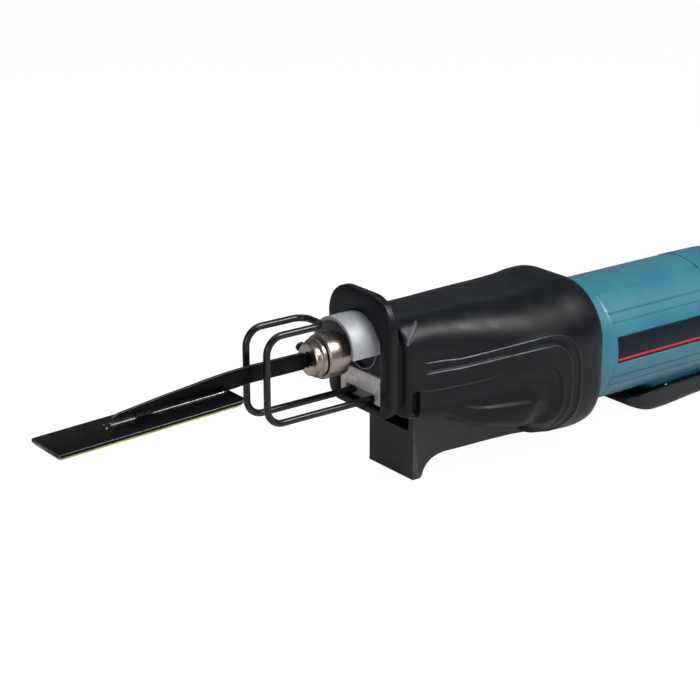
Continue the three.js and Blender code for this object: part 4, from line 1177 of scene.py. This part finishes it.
def rear_half(side, tag):
    xs = stations([REAR_FRONT, 239.62, 239.9, 240.4, 242], np.arange(245, 284, 3),
                  np.arange(284, 312, 1.0), np.arange(312, 350, 2.0), np.arange(350, 366, 1.5),
                  [366, 367, 368, 369, 370, 370.6, 371.1, 371.5, 371.8, 372])
    angle = np.radians(np.linspace(-90, 90, 181))
    x = xs[:, None]
    radius = add_belly(rows_at(REAR, xs), angle, 1 - ramp(289.5, 291.8, x), rest=20,
                       softness=1.0)
    from_seam = ramp(0.0, 0.9, (math.pi / 2 - np.abs(angle)) * radius)
    radius = radius - 0.35 * (1 - from_seam) - 0.45 * (1 - ramp(REAR_FRONT, 240.2, x))
    inner_xs = np.clip(xs, REAR_FRONT, REAR_IN_BACK)
    end_outer = END_RADII[:, None]
    end_inner = np.minimum(end_outer, REAR_IN[-1, 1] - 1)
    outer, inner = (
        np.concatenate([around_motor(grid_x, grid_radius, angle, side, seam=0.15),
                        around_motor(end_x, end_radius, angle, side, seam=0.15)])
        for grid_x, grid_radius, end_x, end_radius in (
            (x, radius, 372.08, end_outer),
            (inner_xs[:, None], rows_at(REAR_IN, inner_xs), REAR_IN_BACK, end_inner)))
    shell = slab("rear_shell_" + tag, outer, inner, teal_rear)

    cutters = [prism("cutter", vent_outline(VENT_X + k * VENT_PITCH), 15 * side, 45 * side,
                     "Y", teal_rear) for k in range(4)]
    cutters.append(rod_cutter(6.45, 27 * side, 45 * side, teal_rear, 48, "Y",
                              (BRUSH_X, 0, MOTOR_Z)))
    if side < 0:
        cutters += [rod_cutter(3.65, 22.2 * side, 45 * side, teal_rear, 40, "Y", (x, 0, z))
                    for x, z in COVER_SCREWS]
    cutters.append(rod_cutter(6.9, 362, 375, teal_rear, 48, origin=(0, 0, MOTOR_Z)))
    place(boolean(shell, cutters), "rear_cover_" + tag, sharp=40)


def cover_screw(number, x, z):
    """Screw in the left half, with the boss it sits on."""
    screw("screw_cover_%d" % number, (x, -25.4, z), "Y", head_r=3.3, head_h=2.6, shank_r=1.8,
          shank_l=39, replaces="cover_screw_%d" % number)
    profile = fillet([(-22.3, 2.05), (-22.3, 4.5), (-16, 4.5), (-16, 2.05)], 0.2, 2)
    place(turned("screw_boss_%d" % number, profile, teal_rear, 40, "Y", (x, 0, z), ring=True))


def brush_cap(side, tag):
    """Slotted plug in the side of the cover."""
    profile = fillet([(31.4, 0.01), (31.4, 6.1), (35.9, 6.1), (36.6, 5.3), (36.6, 0.01)],
                     [0, 0.3, 0.35, 0.35, 0], 4)
    cap = turned("brush_plug_" + tag, [(side * along, radius) for along, radius in profile],
                 paddle_plastic, 64, "Y", (BRUSH_X, 0, MOTOR_Z))
    boolean(cap, [block("cutter", (BRUSH_X - 4.8, BRUSH_X + 4.8), sorted((side * 35.5, side * 38)),
                        (MOTOR_Z - 0.75, MOTOR_Z + 0.75), paddle_plastic)])
    place(bevel(cap, 0.15, 2, 40), "brush_cap_" + tag, sharp=40)


for side, tag in SIDES:
    rear_half(side, tag)
for k, (x, z) in enumerate(COVER_SCREWS):
    cover_screw(k + 1, x, z)
for side, tag in SIDES:
    brush_cap(side, tag)

# ------------------------------------------------------------------ paddle and lock-off lever
# x, top z, bottom z
PADDLE = np.array([
    [188.0, -68.9, -70.0], [188.2, -68.6, -70.8], [188.8, -68.2, -71.6], [190, -67.7, -72.6],
    [192, -66.9, -73.7], [195, -65.8, -75.0], [199, -64.8, -76.2], [204, -63.9, -76.9],
    [214, -63.2, -76.8], [227, -62.9, -75.9], [240, -62.5, -74.9], [250, -62.3, -74.4],
    [268, -62.3, -74.0], [285, -62.4, -73.6], [291, -62.4, -72.9], [294.2, -62.6, -71.6],
    [295.2, -63.2, -70.2], [295.5, -64.0, -69.3]])
# x, half width, outside and then inside
NOSE = np.array([[188.0, 6.0], [188.15, 8], [188.6, 10.4], [189.4, 12.6], [190.6, 14.6],
                 [192.4, 16.6], [194.6, 18.3], [197.4, 19.8], [200.6, 20.8], [205, 21.4],
                 [300, 21.4]])
NOSE_IN = [(190.2, 5), (190.5, 8), (191.4, 10.8), (192.8, 13), (194.8, 15.2), (197.4, 17),
           (200.6, 18.4), (205, 19.3), (292.9, 19.3)]
# x, z of the hollow, seen from the side
PADDLE_HOLLOW = [(190.2, -50), (190.2, -70.4), (191.6, -71.4), (194, -72.6), (197.5, -73.8),
                 (201, -74.5), (205, -74.9), (214, -74.7), (240, -73.4), (250, -72.9),
                 (285, -71.5), (292.9, -70.7), (292.9, -50)]
# name, x range, y range, z range of the blocks inside the paddle
PADDLE_BLOCKS = (
    ("paddle_switch_rib", (256.5, 263.5), (-5, 5), (-73.6, -70.65)),
    ("paddle_pivot_ear_l", (220.8, 227.2), (-16.4, -13.7), (-75.2, -71)),
    ("paddle_pivot_ear_r", (220.8, 227.2), (13.7, 16.4), (-75.2, -71)))
LEVER_OUTLINE = [
    (217, -76.5), (216.9, -78), (219, -79), (225, -78.7), (229, -79.2), (234.6, -78.6),
    (237.2, -76.6), (237.6, -74.3), (236, -74.8), (233, -76.2), (227.4, -75.4),
    (227.4, -71.2), (225.6, -69.7), (222.4, -69.7), (220.6, -71.2), (220.6, -75.4)]
LEVER_RADII = [1, 1, 1.6, 1.6, 2, 2, 1.2, 0.4, 1, 1.5, 0.6, 1, 1, 1, 1, 0.6]


def paddle():
    xs = stations([188, 188.05, 188.12, 188.25, 188.45, 188.75, 189.1],
                  np.arange(189.6, 198, 0.6), np.arange(198, 284, 2.2),
                  np.arange(284, 293, 1.0), [293.6, 294.2, 294.7, 295.1, 295.35, 295.5])
    halves = rows_at(NOSE, xs)[:, 0] * (1 - 0.03 * ramp(291, 295.5, xs))
    rings = []
    for x, half, (top, low) in zip(xs, halves, rows_at(PADDLE, xs)):
        height = top - low
        rings.append(section(x, half, top, low, min(0.7, height * 0.3),
                             min(4.6, height * 0.55), (8, 10, 10, 14)))
    shell = ring_solid("paddle_shell", rings, paddle_plastic)
    hollow = prism("cutter", PADDLE_HOLLOW, -19.3, 19.3, "Y", paddle_plastic)
    plan = NOSE_IN + [(x, -y) for x, y in reversed(NOSE_IN)]
    boolean(hollow, [prism("cutter", plan, -90, -40, "Z", paddle_plastic)], "INTERSECT")
    opening = fillet(rect(215, 239.6, -13.4, 13.4), 1.2, 4)
    boolean(shell, [hollow, prism("cutter", opening, -85, -69, "Z", paddle_plastic),
                    rod_cutter(2.35, -23, 23, paddle_plastic, 32, "Y", (288, 0, -68))])
    place(shell, "paddle_lever", "paddle", sharp=40)
    for name, *ranges in PADDLE_BLOCKS:
        place(bevel(block(name, *ranges, paddle_plastic), 0.3, 2),
              body="paddle")


def lock_lever():
    """Rounded lever in the paddle's opening, with a stub at each side."""
    outline = fillet(LEVER_OUTLINE, LEVER_RADII, 5)
    lever = bevel(prism("lever_bump", outline, -13, 13, "Y", paddle_plastic), 0.7, 3, 35)
    place(lever, "lock_off_lever", "lock_lever", sharp=40)
    profile = [(12.6, 0.01), (12.6, 1.45), (15.9, 1.45), (16.1, 1.25), (16.1, 0.01)]
    for side, tag in SIDES:
        stub = turned("lever_stub_" + tag[0], [(side * along, radius) for along, radius in profile],
                      paddle_plastic, 28, "Y", (224, 0, -73.2))
        place(stub, body="lock_lever", sharp=40)


paddle()
lock_lever()

# ------------------------------------------------------------------ cord
# x, radius of the ribbed sleeve
SLEEVE_PROFILE = [
    (361.2, 4.3), (361.2, 9), (364, 9), (364, 6.5), (372.4, 6.5), (373, 9.0), (376.5, 9.0),
    (378.2, 8.6), (378.4, 7.3), (380.4, 7.2), (380.8, 8.4), (384.0, 8.2), (384.4, 7.0),
    (386.6, 6.9), (387.0, 8.0), (390.2, 7.8), (390.6, 6.7), (392.8, 6.6), (393.2, 7.6),
    (396.4, 7.4), (396.8, 6.4), (399.0, 6.3), (399.4, 7.2), (402.6, 7.0), (403.0, 6.1),
    (408, 6.0), (408, 4.3)]
# x, drop below the motor axis
CORD_LINE = [(350, 0), (365, 0), (380, 0), (395, 0), (409, 0.1), (424, 1.2), (438, 4.5),
             (450, 9.5)]


def cord():
    sleeve = turned("cord_sleeve", fillet(SLEEVE_PROFILE, 0.35, 3), cord_rubber, 72,
                    origin=(0, 0, MOTOR_Z), ring=True)
    place(sleeve, "cord_guard", sharp=40)
    path = np.array([(x, 0, z) for x, z in spline([(x, MOTOR_Z - drop) for x, drop in CORD_LINE])])
    radii = np.full(len(path), 3.9)
    radii[-1] = 3.7
    place(tube("cord", path, radii, cord_rubber, 40), "power_cord", sharp=50)
    # two bare cores standing out of the cut end
    forward = path[-1] - path[-2]
    forward /= np.linalg.norm(forward)
    for k, y in enumerate((-1.5, 1.5)):
        core = [path[-1] + (0, y, 0) + forward * reach for reach in (-0.6, 0, 0.6)]
        place(tube("cord_core_%d" % k, core, 0.9, copper, 20), sharp=50)


cord()

# ------------------------------------------------------------------ CAD pieces that stay
# The pieces not named here are steel.
FINISH = {
    dull_cast: ("gear_housing", "bearing_plate"),
    bronze: ("front_plunger_bush", "rear_plunger_bush"),
    guard_plastic: ("fan_baffle", "brush_carrier", "switch_module", "cooling_fan"),
    laminations: ("stator_core", "armature_core"),
    copper: ("upper_field_coil", "lower_field_coil", "armature_winding", "commutator"),
    carbon: ("carbon_brush_left", "carbon_brush_right"),
    zinc: ("paddle_spring", "motor_screw_1", "motor_screw_2", "motor_screw_3",
           "motor_screw_4"),
    paddle_plastic: ("switch_button",)}
MATERIAL_OF = {name: material for material, names in FINISH.items() for name in names}
for name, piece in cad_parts.items():
    if piece.hide_render:
        continue
    piece.data.materials.clear()
    piece.data.materials.append(MATERIAL_OF.get(name, steel))
    for face in piece.data.polygons:
        face.material_index = 0
    edge = piece.modifiers.new("edge", "BEVEL")
    edge.width = 0.00012
    edge.segments = 1
    edge.limit_method = "ANGLE"
    edge.angle_limit = math.radians(50)

# ------------------------------------------------------------------ stage, light and camera
FLOOR_Z = -79.6
FLOOR_COUNT = 60            # points along each edge of the floor
# height on the sky, colour
ROOM = ((0.0, (0.21, 0.22, 0.24, 1)), (0.22, (0.21, 0.22, 0.24, 1)),
        (0.55, (0.12, 0.135, 0.155, 1)), (1.0, (0.10, 0.115, 0.13, 1)))
# name, place, target, size in metres, watts, colour
SOFTBOXES = (
    ("key", (225, -330, 480), (40, -20, 0), (0.26, 0.22), 3.8, (1, 0.985, 0.97)),
    ("side", (620, -520, 620), (180, 0, -20), (0.6, 0.5), 1.4, (0.97, 0.99, 1)),
    ("left", (-760, -420, 260), (-10, 0, 0), (0.35, 0.5), 2.6, (1, 0.98, 0.96)),
    ("top", (-60, 260, 760), (60, 0, 0), (0.7, 0.35), 1.7, (0.94, 0.97, 1)),
    ("front", (60, -1000, 60), (120, 0, -30), (0.9, 0.3), 0.6, (0.97, 0.985, 1)))
CAMERA_PLACE = (-571.04, -746.92, 325.69)
# the camera's own X, Y and Z directions
CAMERA_AXES = ((0.7973, -0.6036, 0.0), (0.1985, 0.2622, 0.9444), (-0.5700, -0.7530, 0.3289))
SENSOR_WIDTH = 36
FOCAL_LENGTH = 97.4571429


def in_metres(x, y, z):
    return Vector(((x + FLANGE_X) * MM, y * MM, z * MM))


def floor_material():
    """Pale matt floor that glows near white to the camera only."""
    material = bpy.data.materials.new("pale_floor")
    graph = Graph(material)
    mottle = graph.remap(graph.noise(scale=3, detail=2), start=0.3, stop=0.7)
    colour = graph.mix(mottle, (0.66, 0.66, 0.665, 1), (0.70, 0.70, 0.705, 1))
    matt = graph.add("ShaderNodeBsdfPrincipled", {
        "Base Color": colour, "Roughness": 0.9, "Specular IOR Level": 0.1})
    glow = graph.add("ShaderNodeEmission", {"Color": (1, 1, 1, 1), "Strength": 1.13})
    share = graph.multiply(graph.is_camera_ray(), 0.86)
    graph.finish("ShaderNodeOutputMaterial",
                 graph.add("ShaderNodeMixShader", {0: share, 1: matt, 2: glow}))
    return material


def floor():
    xs = np.linspace(-2600, 3000, FLOOR_COUNT)
    ys = np.linspace(-2600, 4200, FLOOR_COUNT)
    new_object("floor", [(x, y, FLOOR_Z) for x in xs for y in ys],
                        grid_faces(FLOOR_COUNT, FLOOR_COUNT, wrap_columns=False),
                        floor_material())


def studio_world():
    """White to the camera. To everything else a soft room, dimmer overhead."""
    world = bpy.data.worlds.new("studio")
    bpy.context.scene.world = world
    graph = Graph(world, "Generated")
    sky = graph.add("ShaderNodeValToRGB", {0: graph.axis("Z")})
    elements = sky.node.color_ramp.elements
    elements[0].color = ROOM[0][1]
    elements[1].color = ROOM[-1][1]
    for height, colour in ROOM[1:-1]:
        elements.new(height).color = colour
    room = graph.add("ShaderNodeBackground", {"Color": sky, "Strength": 1.0})
    seen = graph.add("ShaderNodeBackground", {"Color": (1, 1, 1, 1), "Strength": 1.0})
    graph.finish("ShaderNodeOutputWorld", graph.add(
        "ShaderNodeMixShader", {0: graph.is_camera_ray(), 1: room, 2: seen}))


def softbox(name, location, target, size, watts, colour):
    light = bpy.data.lights.new(name, "AREA")
    light.shape = "RECTANGLE"
    light.size, light.size_y = size
    light.energy = watts
    light.color = colour
    lamp = bpy.data.objects.new(name, light)
    bpy.context.scene.collection.objects.link(lamp)
    lamp.location = in_metres(*location)
    lamp.rotation_mode = "QUATERNION"
    aim = in_metres(*target) - lamp.location
    lamp.rotation_quaternion = aim.to_track_quat("-Z", "Y")


def camera():
    lens = bpy.data.cameras.new("camera")
    viewer = bpy.data.objects.new("camera", lens)
    bpy.context.scene.collection.objects.link(viewer)
    lens.sensor_width = SENSOR_WIDTH
    lens.lens = FOCAL_LENGTH
    lens.clip_start, lens.clip_end = 0.05, 20
    pose = Matrix(CAMERA_AXES).transposed().to_4x4()
    pose.translation = in_metres(*CAMERA_PLACE)
    viewer.matrix_world = pose
    bpy.context.scene.camera = viewer


floor()
studio_world()
for row in SOFTBOXES:
    softbox(*row)
camera()
bpy.context.scene.view_settings.view_transform = "Standard"
bpy.context.scene.view_settings.look = "None"
